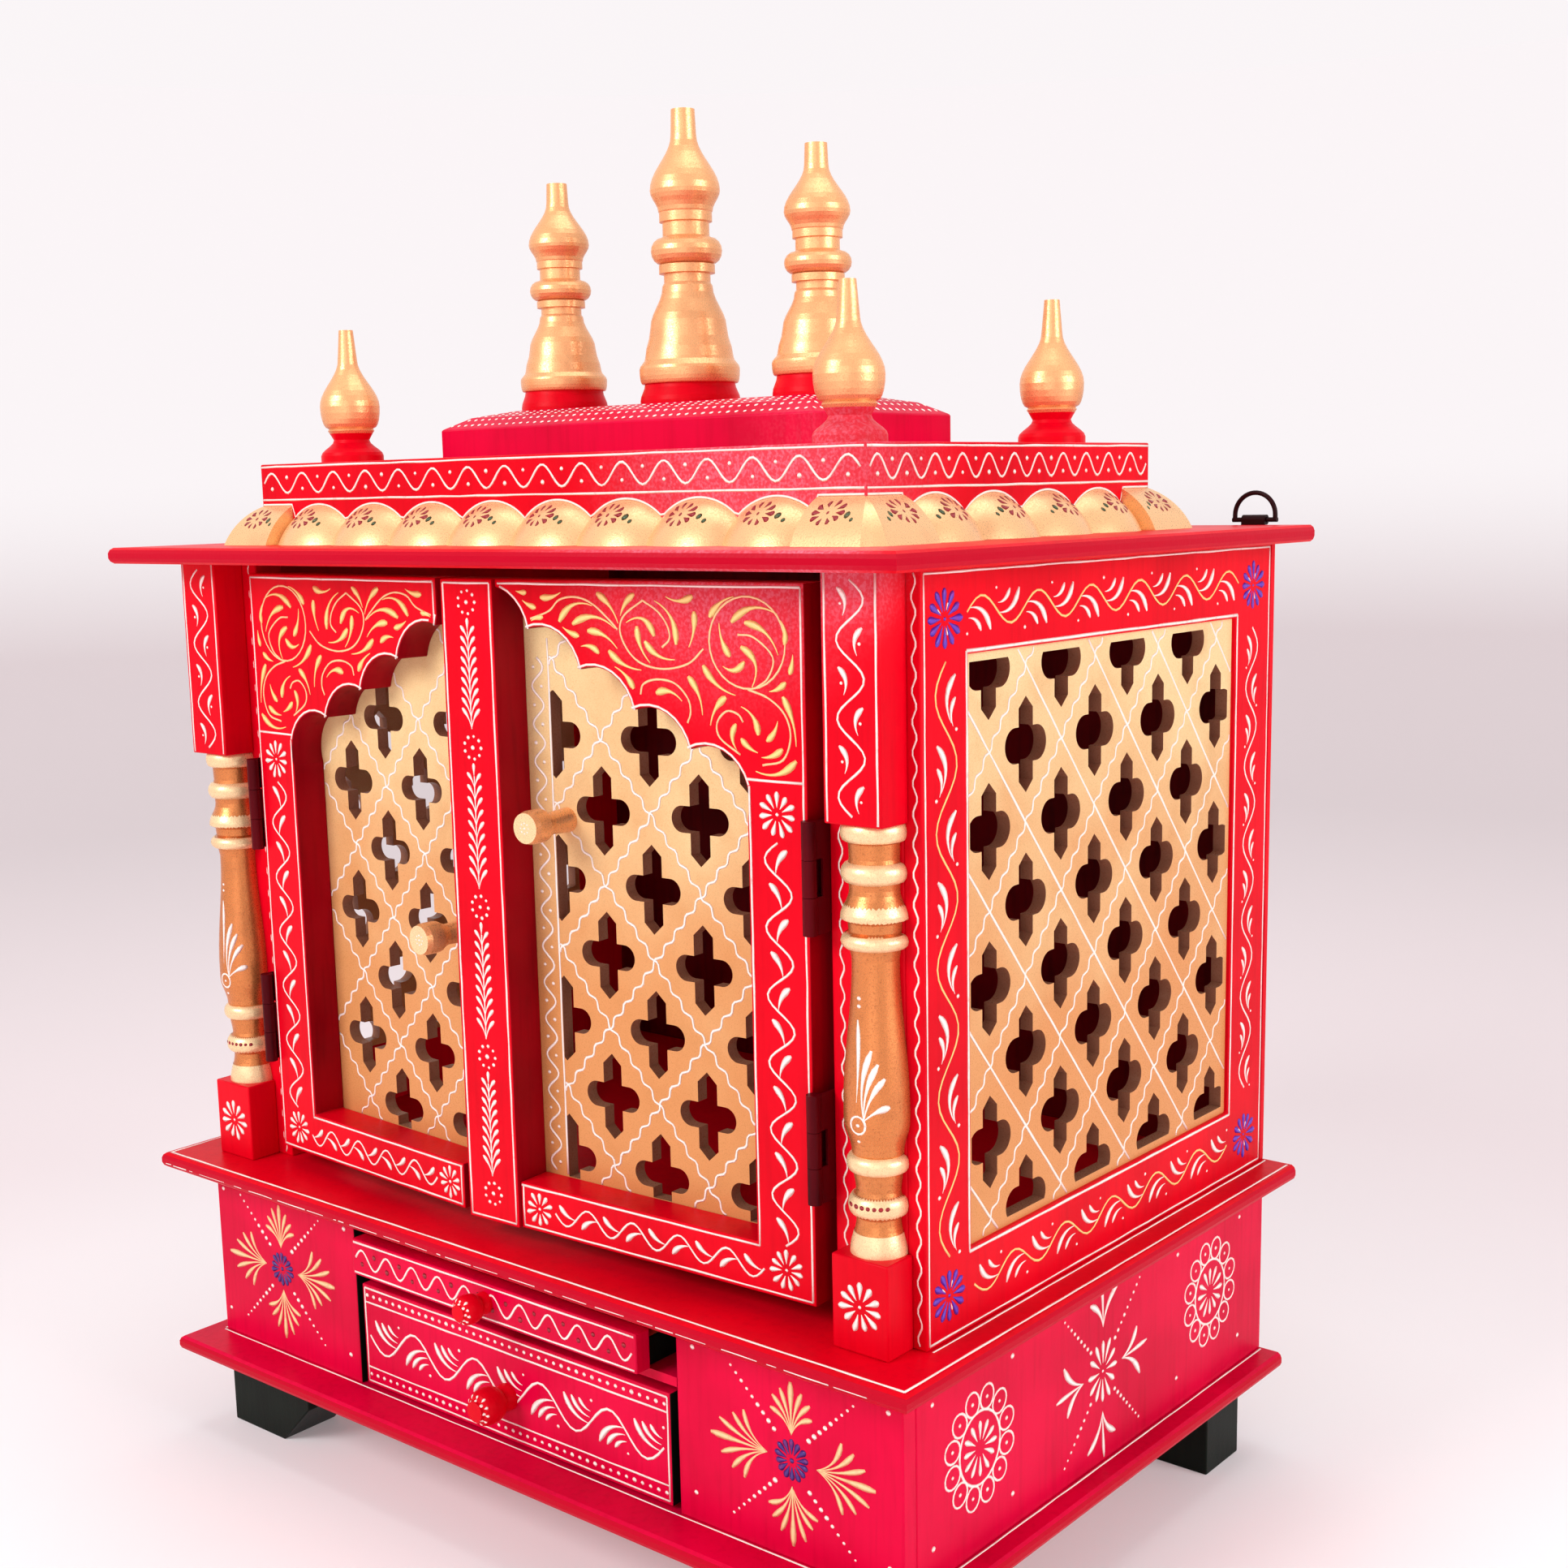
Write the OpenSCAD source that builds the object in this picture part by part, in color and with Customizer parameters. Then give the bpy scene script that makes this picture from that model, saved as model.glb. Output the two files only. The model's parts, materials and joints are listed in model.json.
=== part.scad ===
// Painted wooden home temple cabinet: plinth with drawer and tray, lattice doors, tiered roof with spires.
// Millimetres, +Z up, +X to the right of someone facing the doors, -Y towards that person.

/* [Plates] */
// How far the top plate stands out at each side of the cabinet
top_side = 22.5; // [15:0.5:40]
// How far the top plate stands out in front of the cabinet
top_front = 47; // [42:1:60]
// How far the mid plate stands out at each side of the cabinet
mid_side = 20; // [12:0.5:35]
// How far the mid plate stands out in front of the plinth
mid_front = 24; // [18:1:40]
// How far the base plate stands out at each side of the plinth
base_side = 14; // [8:0.5:35]
// How far the base plate stands out in front of the plinth
base_front = 25; // [18:1:40]
// Thickness of the three plates
plate_t = 9; // [6:0.5:14]
// Chamfer that rounds the plates' edges
plate_edge = 2.4; // [0.5:0.1:2.6]

/* [Feet] */
// Height of the feet
foot_h = 49; // [30:1:70]
// Length of a foot at the floor
foot_l = 48; // [30:1:60]
// Depth of a foot
foot_d = 38; // [24:1:50]
// How far the slanted inner side of a foot leans out
foot_slant = 26; // [10:1:28]
// Distance of the feet from the ends of the base plate
foot_inset = 17; // [8:1:30]
// Distance of the back feet from the wall
foot_back = 20; // [5:1:40]
// Distance of the front feet from the front of the base plate
foot_front = 25; // [10:1:40]

/* [Plinth] */
// Width of the plinth and of the cabinet above it
body_w = 514; // [500:1:530]
// How far the plinth stands out in front of the cabinet
plinth_front = 19; // [16:1:30]
// Height of the plinth
plinth_h = 106; // [100:1:130]
// Thickness of the plinth and side boards
board_t = 10; // [8:0.5:12]
// Thickness of the back panels
back_t = 5; // [3:0.5:8]
// Sideways place of the drawer and the tray
drawer_x = -4; // [-10:1:10]
// Thickness of the shelf that the tray slides on
shelf_t = 5; // [4:0.5:8]

/* [Drawer] */
// Width of the drawer front
drawer_w = 237; // [180:1:260]
// Height of the drawer front
drawer_h = 60; // [50:1:64]
// Room left between the shut drawer and the plinth's back
drawer_room = 37; // [5:1:130]
// Gap around a sliding front at its sides and top
slide_gap = 5; // [2:0.5:6]
// Gap under a sliding front
sill_gap = 2; // [1:0.5:3]
// Wall of the drawer box
drawer_wall = 6; // [4:0.5:9]
// Thickness of the drawer and tray bottoms
bottom_t = 4; // [3:0.5:6]
// Height of the drawer box
drawer_box_h = 48; // [36:1:52]
// Running gap between a sliding box and what carries it
run_gap = 0.3; // [0.2:0.1:0.6]
// Height of the drawer runners
runner_h = 3.5; // [2.5:0.5:6]
// Width of a drawer runner
runner_w = 14; // [8:1:24]

/* [Tray] */
// Width of the tray front
tray_w = 218; // [160:1:240]
// Height of the tray front
tray_h = 21; // [18:1:26]
// Room left between the shut tray and the plinth's back
tray_room = 47; // [5:1:130]
// Height of the tray's rim
tray_rim_h = 15; // [12:1:17]
// How far the tray stands out of the plinth at rest
tray_out = 13; // [0:1:40]
// Length of the tray knob
tray_knob_l = 19; // [14:1:24]
// Length of the drawer knob
drawer_knob_l = 24; // [16:1:28]
// Radius of the head of the drawer knob
drawer_knob_r = 10; // [7:0.5:12]
// Radius of the head of the tray knob
tray_knob_r = 8; // [6:0.5:9]

/* [Cabinet] */
// Depth of the cabinet from the wall
cabinet_d = 333; // [325:1:360]
// Height of the cabinet between mid and top plate
cabinet_h = 352; // [340:1:370]
// Front upright of a side frame
side_front_w = 36; // [25:1:50]
// Back upright of a side frame
side_back_w = 40; // [25:1:60]
// Top and bottom rails of a side frame
side_rail_h = 39; // [25:1:50]
// Thickness of the lattice boards
lattice_t = 7; // [6:0.5:11]
// How far a side lattice lies back in its frame
lattice_recess = 2.5; // [0:0.5:5]
// Sideways spacing of the lattice cut-outs
lattice_pitch_w = 61.5; // [52:0.5:75]
// Upright spacing of the lattice cut-outs
lattice_pitch_h = 73.4; // [62:0.2:90]
// Height of one lattice cut-out
cross_h = 45; // [30:1:48]
// Width of one lattice cut-out
cross_w = 35; // [30:1:40]
// Width of a cut-out's upright arm
cross_bar = 12; // [8:0.5:14]
// Height of the points at both ends of a cut-out
cross_point = 5.5; // [3:0.5:9]
// Radius of the side lobes of a door cut-out
door_lobe_r = 6.6; // [5:0.1:9]
// Radius of the side lobes of a side frame cut-out
side_lobe_r = 8.4; // [5:0.1:9]
// Wood left between a cut-out and the board's rim
lattice_rim = 4; // [3:0.5:8]
// Height of a row of cut-outs above the mid plate
lattice_row = 84; // [70:0.5:110]
// Place of a cut-out behind the front of a side frame
side_cut_y = 86; // [60:1:110]
// Place of a cut-out of the left door from the middle
left_cut_x = 78; // [60:0.5:100]
// Place of a cut-out of the right door from the middle
right_cut_x = 61.5; // [45:0.5:75]
// How far the door cut-outs reach above the arch's springing
cut_rise = 36; // [20:1:40]
// Width of the stiles beside the doors
stile_w = 41; // [38:1:44]
// Thickness of the stiles
stile_t = 18; // [12:1:24]

/* [Doors] */
// Gap between a door's outer edge and its stile
door_gap = 5; // [4:0.5:7]
// Gap between the doors where they meet
meet_gap = 9; // [8:0.5:12]
// Gap under the doors
door_low = 10.5; // [6:0.5:15]
// Gap over the doors
door_high = 6.5; // [5:0.5:10]
// Thickness of the door frames
door_t = 20; // [14:1:22]
// How far the doors stand in front of the stiles
door_proud = 9; // [6:0.5:12]
// Width of a door's outer upright
door_upright = 34; // [26:1:40]
// Height of a door's bottom rail
door_rail = 25; // [18:1:40]
// How far a lattice laps behind its door frame
door_lap = 9; // [6:0.5:12]
// Width of the batten on the right door
batten_w = 36; // [28:1:44]
// Left edge of the batten
batten_x = -23; // [-30:1:-12]
// How far the batten stands in front of the door frame
batten_proud = 2; // [0:0.5:4]
// Solid margin of the right lattice beside the batten
lattice_margin = 16; // [8:1:30]
// Height of the arch from its springing to its point
arch_rise = 87; // [70:1:110]
// Gap left between the arch's point and the top of the door
arch_top = 5; // [4:0.5:10]
// Foils in half of the arch
arch_foils = 5; // [3:1:6]
// Rise of a foil as a share of its chord
foil_rise = 0.23; // [0.12:0.01:0.3]
// Angle by which the doors stand ajar at rest
door_ajar = 3; // [0:0.5:8]
// Height of the right knob above the door's foot
right_knob_z = 214; // [150:1:240]
// Height of the left knob above the door's foot
left_knob_z = 147; // [100:1:240]
// Distance of the right knob from the batten
right_knob_in = 24.5; // [14:0.5:30]
// Distance of the left knob from the door's free edge
left_knob_in = 14; // [12:1:40]
// Length of a door knob from the lattice
door_knob_l = 31; // [24:1:40]
// Radius of a door knob's head
door_knob_r = 8.5; // [6:0.5:9]

/* [Hinges] */
// Length of a hinge
hinge_l = 52; // [36:1:60]
// Radius of a hinge barrel
barrel_r = 3.4; // [2.8:0.1:4]
// Radius of a hinge pin
pin_r = 1.6; // [1.2:0.1:1.8]
// Gap between pin and barrel, and between knuckles
pin_gap = 0.25; // [0.15:0.05:0.4]
// How far the hinge pins lie in front of the doors
hinge_out = 3; // [2.5:0.1:4]
// How far a hinge leaf stops short of a board's back
leaf_short = 7; // [1:0.5:10]
// Thickness of a hinge leaf
leaf_t = 1.2; // [0.8:0.1:1.6]
// Height of the upper hinge above the door's foot
hinge_high = 204; // [160:1:260]
// Height of the lower hinge above the door's foot
hinge_low = 78; // [50:1:120]

/* [Columns] */
// Width of a column's square blocks
column_w = 31.5; // [28:0.5:34]
// Distance of a column's middle from the cabinet's side
column_in = 23; // [19:1:29]
// How far the column blocks stand in front of the stiles
column_proud = 19.5; // [16:0.5:22]
// Height of a base block
column_base_h = 45; // [30:1:60]
// Height of a top block
column_top_h = 110; // [80:1:130]
// Largest radius of the turned shaft
column_r = 15.5; // [12:0.5:15.5]

/* [Roof] */
// Width of the tier box
tier_w = 434; // [400:1:450]
// Depth of the tier box
tier_d = 248; // [220:1:260]
// Height of the tier box
tier_h = 45; // [36:1:60]
// Distance of the tier box from the wall
tier_back = 69; // [60:1:80]
// Width of the tier slab
slab_w = 272; // [260:1:300]
// Depth of the tier slab
slab_d = 116; // [100:1:140]
// Height of the tier slab's upright edge
slab_h = 17; // [10:1:24]
// Height of the slab's low crown
crown_h = 10; // [6:0.5:14]
// Run of the crown's slope
crown_run = 30; // [15:1:30]
// Bumps of the cornice along the front
front_petals = 10; // [8:1:12]
// Bumps of the cornice along a side
side_petals = 6; // [5:1:8]
// How far the cornice stands out from the tier box
petal_out = 20; // [14:1:26]
// Height of a cornice bump
petal_h = 25.5; // [16:0.5:30]

/* [Spires] */
// Height of the centre spire with its disc
spire_h = 155; // [120:1:180]
// Height of the two side spires with their discs
side_spire_h = 126; // [100:1:150]
// Largest radius of the centre spire, at its bell
spire_bell_r = 27.5; // [22:0.5:30]
// Largest radius of a side spire, at its bell
side_bell_r = 24.75; // [20:0.25:30]
// Radius of the centre spire's bulb
spire_bulb_r = 19; // [14:0.5:22]
// Radius of the centre spire's neck
spire_neck_r = 12.7; // [10:0.1:14]
// Radius of the centre spire's tip
spire_tip_r = 6.4; // [4:0.1:8]
// Height of the red disc under a spire
spire_disc_h = 11; // [8:0.5:14]
// Distance between spires
spire_pitch = 94; // [85:1:98]
// How far the centre spire stands behind the other two
spire_mid_back = 4; // [0:1:8]
// Height of a corner finial with its disc
finial_h = 74; // [60:1:90]
// Height of the red disc under a finial
finial_disc_h = 16.5; // [12:0.5:20]
// Largest radius of a finial's bulb
finial_r = 16.8; // [12:0.2:20]
// Radius of a finial's neck
finial_neck_r = 10; // [7:0.5:12]
// Radius of a finial's tip
finial_tip_r = 4; // [3:0.1:5]
// Distance of the finials from the edges of the tier box
finial_inset = 37; // [24:1:45]

/* [Hangers] */
// Distance of a hanger's middle from the cabinet's side
hanger_in = 14; // [9:1:57]
// Width of a hanger ring at its wire's middle
ring_w = 24; // [18:1:26]
// Height of a hanger ring
ring_h = 16; // [14:0.5:24]
// Radius of the ring's wire
wire_r = 1.3; // [1:0.1:1.8]
// Width of a hanger strap
strap_w = 14; // [10:1:16]
// Length of a hanger strap
strap_l = 28; // [24:1:40]
// Thickness of a hanger strap
strap_t = 1.2; // [0.8:0.1:2]

/* [Hidden] */
$fn = 48;
overlap = 0.05;

// How far a cut runs past the piece that it cuts, and the thickness of a slice of the crown
past = 1;
slice = 1;

// Heights of the storeys
base_z = foot_h;
plinth_z = base_z + plate_t;
mid_z = plinth_z + plinth_h;
cabinet_z = mid_z + plate_t;
top_z = cabinet_z + cabinet_h;
tier_z = top_z + plate_t;
slab_z = tier_z + tier_h;
spire_z = slab_z + slab_h + crown_h;

// Widths and depths of the plinth and the plates
plinth_d = cabinet_d + plinth_front;
top_plate_w = body_w + 2 * top_side;
top_plate_d = cabinet_d + top_front;
mid_plate_w = body_w + 2 * mid_side;
mid_plate_d = plinth_d + mid_front;
base_plate_w = body_w + 2 * base_side;
base_plate_d = plinth_d + base_front;

// Depths: the origin lies midway between the foremost and the rearmost point
eye_r = wire_r + pin_gap + strap_t;
hanger_reach = 2 * eye_r;
front_reach = max(top_plate_d, mid_plate_d, base_plate_d,
                  plinth_d + tray_out + tray_knob_l, plinth_d + drawer_knob_l);
wall_y = (front_reach - hanger_reach) / 2;
plinth_y = wall_y - plinth_d;
cabinet_y = wall_y - cabinet_d;
door_y = cabinet_y - door_proud;
lattice_y = door_y + door_t;
inner_x = body_w / 2 - board_t;
column_x = body_w / 2 - column_in;
hanger_x = body_w / 2 - hanger_in;
tier_y = wall_y - tier_back - tier_d / 2;

// Drawer and tray heights and openings
slide_w = drawer_w + 2 * slide_gap;
drawer_z = plinth_z + sill_gap;
shelf_z = drawer_z + drawer_h + slide_gap;
tray_z = shelf_z + shelf_t + sill_gap;
rail_z = tray_z + tray_h + slide_gap;
drawer_box_z = plinth_z + runner_h + run_gap;
tray_box_z = shelf_z + shelf_t + run_gap;
drawer_l = plinth_d - board_t - back_t - drawer_room;
tray_l = plinth_d - board_t - back_t - tray_room;

// Doors
door_x = inner_x - stile_w - door_gap;
door_z = cabinet_z + door_low;
door_h = cabinet_h - door_low - door_high;
opening_x = door_x - door_upright;
batten_end = batten_x + batten_w;
left_end = batten_x - meet_gap;
hinge_x = door_x + door_gap / 2;
hinge_y = door_y - hinge_out;
grid_z = cabinet_z + lattice_row;

red = [0.85, 0.03, 0.1];
crimson = [0.78, 0.03, 0.25];
gold = [0.86, 0.66, 0.38];
black = [0.11, 0.14, 0.11];
iron = [0.25, 0.06, 0.07];
plain_wood = [0.76, 0.6, 0.42];

// Outline helpers

// Points from radius r0 at height z0 to r1 at z1 on a smooth S curve
function ease(z0, r0, z1, r1, n = 6) =
    [for (i = [0:n]) [r0 + (r1 - r0) * (1 - cos(180 * i / n)) / 2, z0 + (z1 - z0) * i / n]];

// Points of a round bead from z0 to z1 that stands out from r0 to r1
function bead(z0, z1, r0, r1, n = 6) =
    [for (i = [0:n]) [r0 + (r1 - r0) * sin(180 * i / n), (z0 + z1 - (z1 - z0) * cos(180 * i / n)) / 2]];

// Points of a quarter round from radius r0 at z0 out to r1 at z1
function quarter(z0, r0, z1, r1, n = 4) =
    [for (i = [0:n]) [r0 + (r1 - r0) * sin(90 * i / n), z0 + (z1 - z0) * (1 - cos(90 * i / n))]];

// The same points without repeats
function without_repeats(p) =
    [for (i = [0:len(p) - 1]) if (i == 0 || norm(p[i] - p[max(i - 1, 0)]) > 0.01) p[i]];

module turned(points) {
    p = without_repeats(points);
    rotate_extrude() polygon(concat([[0, p[0][1]]], p, [[0, p[len(p) - 1][1]]]));
}

// A board in the X-Z plane whose front face is at y
module upright_board(y, t) translate([0, y + t, 0]) rotate([90, 0, 0]) linear_extrude(t) children();

module box(x0, x1, y0, y1, z0, z1) translate([x0, y0, z0]) cube([x1 - x0, y1 - y0, z1 - z0]);

// Section of a plate with both ends rounded by chamfers
function rounded_ends(a, b, t, c) = [
    [a + c, 0], [b - c, 0], [b - c / 3, c / 2], [b, c * 1.3], [b, t - c * 1.3], [b - c / 3, t - c / 2],
    [b - c, t], [a + c, t], [a + c / 3, t - c / 2], [a, t - c * 1.3], [a, c * 1.3], [a + c / 3, c / 2]
];

// A plate that is rounded along its front and sides and square at the wall
module plate(w, d, z) translate([0, 0, z]) intersection() {
    translate([0, wall_y, 0]) rotate([90, 0, 0]) linear_extrude(d)
        polygon(rounded_ends(-w / 2, w / 2, plate_t, plate_edge));
    translate([-w / 2, 0, 0]) rotate([90, 0, 90]) linear_extrude(w)
        intersection() {
            polygon(rounded_ends(wall_y - d, wall_y + 2 * plate_edge, plate_t, plate_edge));
            translate([wall_y - d, 0]) square([d, plate_t]);
        }
}

// Both sides of the cabinet
module both_sides() {
    children();
    mirror([1, 0, 0]) children();
}

// Plinth

module foot() rotate([90, 0, 0]) linear_extrude(foot_d)
    polygon([[0, 0], [-foot_l, 0], [-foot_l - foot_slant, foot_slant], [-foot_l - foot_slant, foot_h],
             [0, foot_h]]);

module feet() color(black) both_sides()
    for (y = [wall_y - foot_back, wall_y - base_plate_d + foot_front + foot_d])
        translate([base_plate_w / 2 - foot_inset, y, 0]) foot();

module base_plate() color(crimson) plate(base_plate_w, base_plate_d, base_z);

module plinth_side() box(inner_x, body_w / 2, plinth_y + board_t, wall_y, plinth_z, mid_z);

module plinth_left() color(crimson) mirror([1, 0, 0]) plinth_side();

module plinth_right() color(crimson) plinth_side();

module plinth_back() color(plain_wood) box(-inner_x, inner_x, wall_y - back_t, wall_y, plinth_z, mid_z);

module plinth_board(x0, x1) box(x0, x1, plinth_y, plinth_y + board_t, plinth_z, mid_z);

module plinth_front_left() color(crimson) plinth_board(-body_w / 2, drawer_x - slide_w / 2);

module plinth_front_right() color(crimson) plinth_board(drawer_x + slide_w / 2, body_w / 2);

module plinth_rail() color(crimson)
    box(drawer_x - slide_w / 2, drawer_x + slide_w / 2, plinth_y, plinth_y + board_t, rail_z, mid_z);

module tray_shelf() color(crimson) {
    box(-inner_x, inner_x, plinth_y + board_t, wall_y - back_t, shelf_z, shelf_z + shelf_t);
    box(drawer_x - slide_w / 2, drawer_x + slide_w / 2, plinth_y, plinth_y + board_t + overlap,
        shelf_z, shelf_z + shelf_t);
}

module drawer_runners() color(plain_wood) for (side = [-1, 1])
    translate([drawer_x + side * (drawer_w / 2 - slide_gap - runner_w), 0, 0])
        box(-runner_w / 2, runner_w / 2, plinth_y + board_t, wall_y - back_t, plinth_z, plinth_z + runner_h);

// A turned ball knob that points to the front, with its back at y = 0
module ball_knob(l, r) rotate([90, 0, 0]) turned(concat(
    [[r * 0.74, 0]], ease(l * 0.08, r * 0.74, l * 0.26, r * 0.62, 4),
    bead(l * 0.3, l * 0.92, r * 0.64, r, 10), quarter(l * 0.92, r * 0.64, l, r * 0.56, 3)));

// A box that is open at its top
module open_box(w, l, h, wall) difference() {
    box(-w / 2, w / 2, 0, l, 0, h);
    box(-w / 2 + wall, w / 2 - wall, wall, l - wall, bottom_t, h + past);
}

module drawer_front() color(crimson)
    box(drawer_x - drawer_w / 2, drawer_x + drawer_w / 2, plinth_y, plinth_y + board_t,
        drawer_z, drawer_z + drawer_h);

module drawer_box() color(plain_wood) translate([drawer_x, plinth_y + board_t, drawer_box_z])
    open_box(drawer_w - 2 * slide_gap, drawer_l, drawer_box_h, drawer_wall);

module drawer_knob() color(red) translate([drawer_x, plinth_y, drawer_z + drawer_h * 0.42])
    ball_knob(drawer_knob_l, drawer_knob_r);

module tray_front() color(crimson) translate([0, -tray_out, 0])
    box(drawer_x - tray_w / 2, drawer_x + tray_w / 2, plinth_y, plinth_y + board_t, tray_z, tray_z + tray_h);

module tray_box() color(plain_wood) translate([drawer_x, plinth_y - tray_out + board_t, tray_box_z])
    open_box(tray_w - 2 * slide_gap, tray_l, tray_rim_h, drawer_wall);

module tray_knob() color(red) translate([drawer_x, plinth_y - tray_out, tray_z + tray_h / 2])
    ball_knob(tray_knob_l, tray_knob_r);

// Cabinet

module mid_plate() color(red) plate(mid_plate_w, mid_plate_d, mid_z);

// One cut-out: an upright arm with pointed ends and a level arm with round ends
module cross_2d(lobe_r) {
    shoulder = cross_h / 2 - cross_point;
    lobe_x = cross_w / 2 - lobe_r;
    polygon([for (s = [-1, 1]) each [
        [s * cross_bar / 2, -s * shoulder], [s * cross_bar / 2, s * shoulder], [0, s * cross_h / 2]]]);
    for (s = [-1, 1]) translate([s * lobe_x, 0]) circle(lobe_r);
    square([2 * lobe_x, 2 * lobe_r], center = true);
}

// A lattice board with staggered cut-outs on a grid that passes through (gx, gz)
module lattice_2d(x0, x1, z0, z1, w0, w1, v0, v1, gx, gz, lobe_r) {
    columns = ceil((x1 - x0) / lattice_pitch_w) + 2;
    rows = ceil((z1 - z0) / lattice_pitch_h) + 2;
    difference() {
        translate([x0, z0]) square([x1 - x0, z1 - z0]);
        intersection() {
            translate([w0, v0]) square([w1 - w0, v1 - v0]);
            for (i = [-2 * columns:2 * columns], j = [-2 * rows:2 * rows]) {
                x = gx + i * lattice_pitch_w / 2;
                z = gz + j * lattice_pitch_h / 2;
                if ((i + j) % 2 == 0 && x > w0 - cross_bar / 4 && x < w1 + cross_bar / 4
                    && z > v0 - cross_h / 5 && z < v1 + cross_h / 5) translate([x, z]) cross_2d(lobe_r);
            }
        }
    }
}

side_y0 = cabinet_y + side_front_w;
side_y1 = wall_y - back_t - side_back_w;
side_z0 = cabinet_z + side_rail_h;
side_z1 = top_z - side_rail_h;

// A board in the Y-Z plane whose inner face is at x
module side_board(x, t) translate([x, 0, 0]) rotate([90, 0, 90]) linear_extrude(t) children();

module side_frame() side_board(inner_x, board_t) difference() {
    translate([cabinet_y, cabinet_z]) square([cabinet_d - back_t, cabinet_h]);
    translate([side_y0, side_z0]) square([side_y1 - side_y0, side_z1 - side_z0]);
}

module side_lattice() side_board(inner_x + board_t - lattice_recess - lattice_t, lattice_t)
    lattice_2d(side_y0, side_y1, side_z0, side_z1, side_y0 + lattice_rim, side_y1 - lattice_rim,
               side_z0 + lattice_rim, side_z1 - lattice_rim,
               cabinet_y + side_cut_y, grid_z + lattice_pitch_h / 2, side_lobe_r);

module side_frame_left() color(red) mirror([1, 0, 0]) side_frame();

module side_frame_right() color(red) side_frame();

module side_lattice_left() color(gold) mirror([1, 0, 0]) side_lattice();

module side_lattice_right() color(gold) side_lattice();

module stile() box(inner_x - stile_w, inner_x, cabinet_y, cabinet_y + stile_t, cabinet_z, top_z);

module stile_left() color(red) mirror([1, 0, 0]) stile();

module stile_right() color(red) stile();

module back_panel() color(red) box(-body_w / 2, body_w / 2, wall_y - back_t, wall_y, cabinet_z, top_z);

// Columns: split turnings whose flat backs lie on the stiles

shaft_z = cabinet_z + column_base_h;
shaft_h = cabinet_h - column_base_h - column_top_h;
column_y = cabinet_y - column_proud + column_w / 2;

// Height at a share t of the shaft
function at(t) = t * shaft_h;

module shaft() {
    r = column_r;
    turned(concat(
        ease(0, r * 0.86, at(0.085), r * 0.66), bead(at(0.09), at(0.14), r * 0.7, r * 0.9),
        ease(at(0.15), r * 0.67, at(0.195), r * 0.74, 3), bead(at(0.195), at(0.235), r * 0.76, r * 0.93),
        ease(at(0.24), r * 0.78, at(0.32), r), ease(at(0.35), r, at(0.69), r * 0.7, 10),
        bead(at(0.715), at(0.75), r * 0.76, r), ease(at(0.755), r * 0.78, at(0.775), r * 0.8, 2),
        ease(at(0.785), r, at(0.85), r * 0.74), bead(at(0.865), at(0.91), r * 0.76, r * 0.97),
        ease(at(0.92), r * 0.74, at(0.955), r * 0.76, 2), bead(at(0.96), at(1), r * 0.86, r * 0.97)));
}

module column() intersection() {
    translate([column_x, column_y, shaft_z]) shaft();
    box(column_x - column_w, column_x + column_w, cabinet_y - 2 * column_w, cabinet_y, cabinet_z, top_z);
}

module column_left() color(gold) mirror([1, 0, 0]) column();

module column_right() color(gold) column();

module column_blocks() color(red) both_sides()
    for (span = [[cabinet_z, shaft_z], [shaft_z + shaft_h, top_z]])
        box(column_x - column_w / 2, column_x + column_w / 2, cabinet_y - column_proud, cabinet_y,
            span[0], span[1]);

// Doors, drawn closed and then turned ajar about their hinges

module ajar(side) translate([side * hinge_x, hinge_y, 0]) rotate([0, 0, side * door_ajar])
    translate([-side * hinge_x, -hinge_y, 0]) children();

arch_x = opening_x;
arch_z = door_z + door_h - arch_top - arch_rise;

// Cusp i of the half arch, from its point in the middle to the springing
function cusp(i) = [arch_x * i / arch_foils, arch_z + arch_rise * pow(1 - i / arch_foils, 1.12)];

// The door opening's right half: a rectangle under a row of foils
module arch_2d() {
    sill = door_z + door_rail;
    polygon(concat([for (i = [0:arch_foils]) cusp(i)], [[arch_x, sill], [0, sill]]));
    for (i = [1:arch_foils]) {
        chord = cusp(i) - cusp(i - 1);
        c = norm(chord);
        rise = c * foil_rise;
        r = (c * c / 4 + rise * rise) / (2 * rise);
        out = [-chord[1], chord[0]] / c;
        middle = (cusp(i) + cusp(i - 1)) / 2 + out * (rise - r);
        translate(middle) circle(r);
    }
}

// A door frame from its free edge to its outer edge, drawn as a right-hand door
module door_frame_2d(free_x) difference() {
    translate([free_x, door_z]) square([door_x - free_x, door_h]);
    arch_2d();
}

module left_door_frame() color(red) ajar(-1) mirror([1, 0, 0])
    upright_board(door_y, door_t) door_frame_2d(-left_end);

module right_door_frame() color(red) ajar(1) upright_board(door_y, door_t) door_frame_2d(batten_end);

module right_door_batten() color(red) ajar(1)
    box(batten_x, batten_end, door_y - batten_proud, door_y + door_t, door_z, door_z + door_h);

lattice_x = opening_x + door_lap;
lattice_z0 = door_z + door_rail - door_lap;
lattice_z1 = door_z + door_h - door_lap;

module left_door_lattice() color(gold) ajar(-1) upright_board(lattice_y, lattice_t)
    lattice_2d(-lattice_x, left_end, lattice_z0, lattice_z1, -opening_x, left_end - lattice_rim,
               door_z + door_rail, arch_z + cut_rise, -left_cut_x, grid_z, door_lobe_r);

module right_door_lattice() color(gold) ajar(1) upright_board(lattice_y, lattice_t)
    lattice_2d(batten_end - door_lap, lattice_x, lattice_z0, lattice_z1,
               batten_end + lattice_margin, opening_x,
               door_z + door_rail, arch_z + cut_rise, right_cut_x, grid_z, door_lobe_r);

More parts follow.
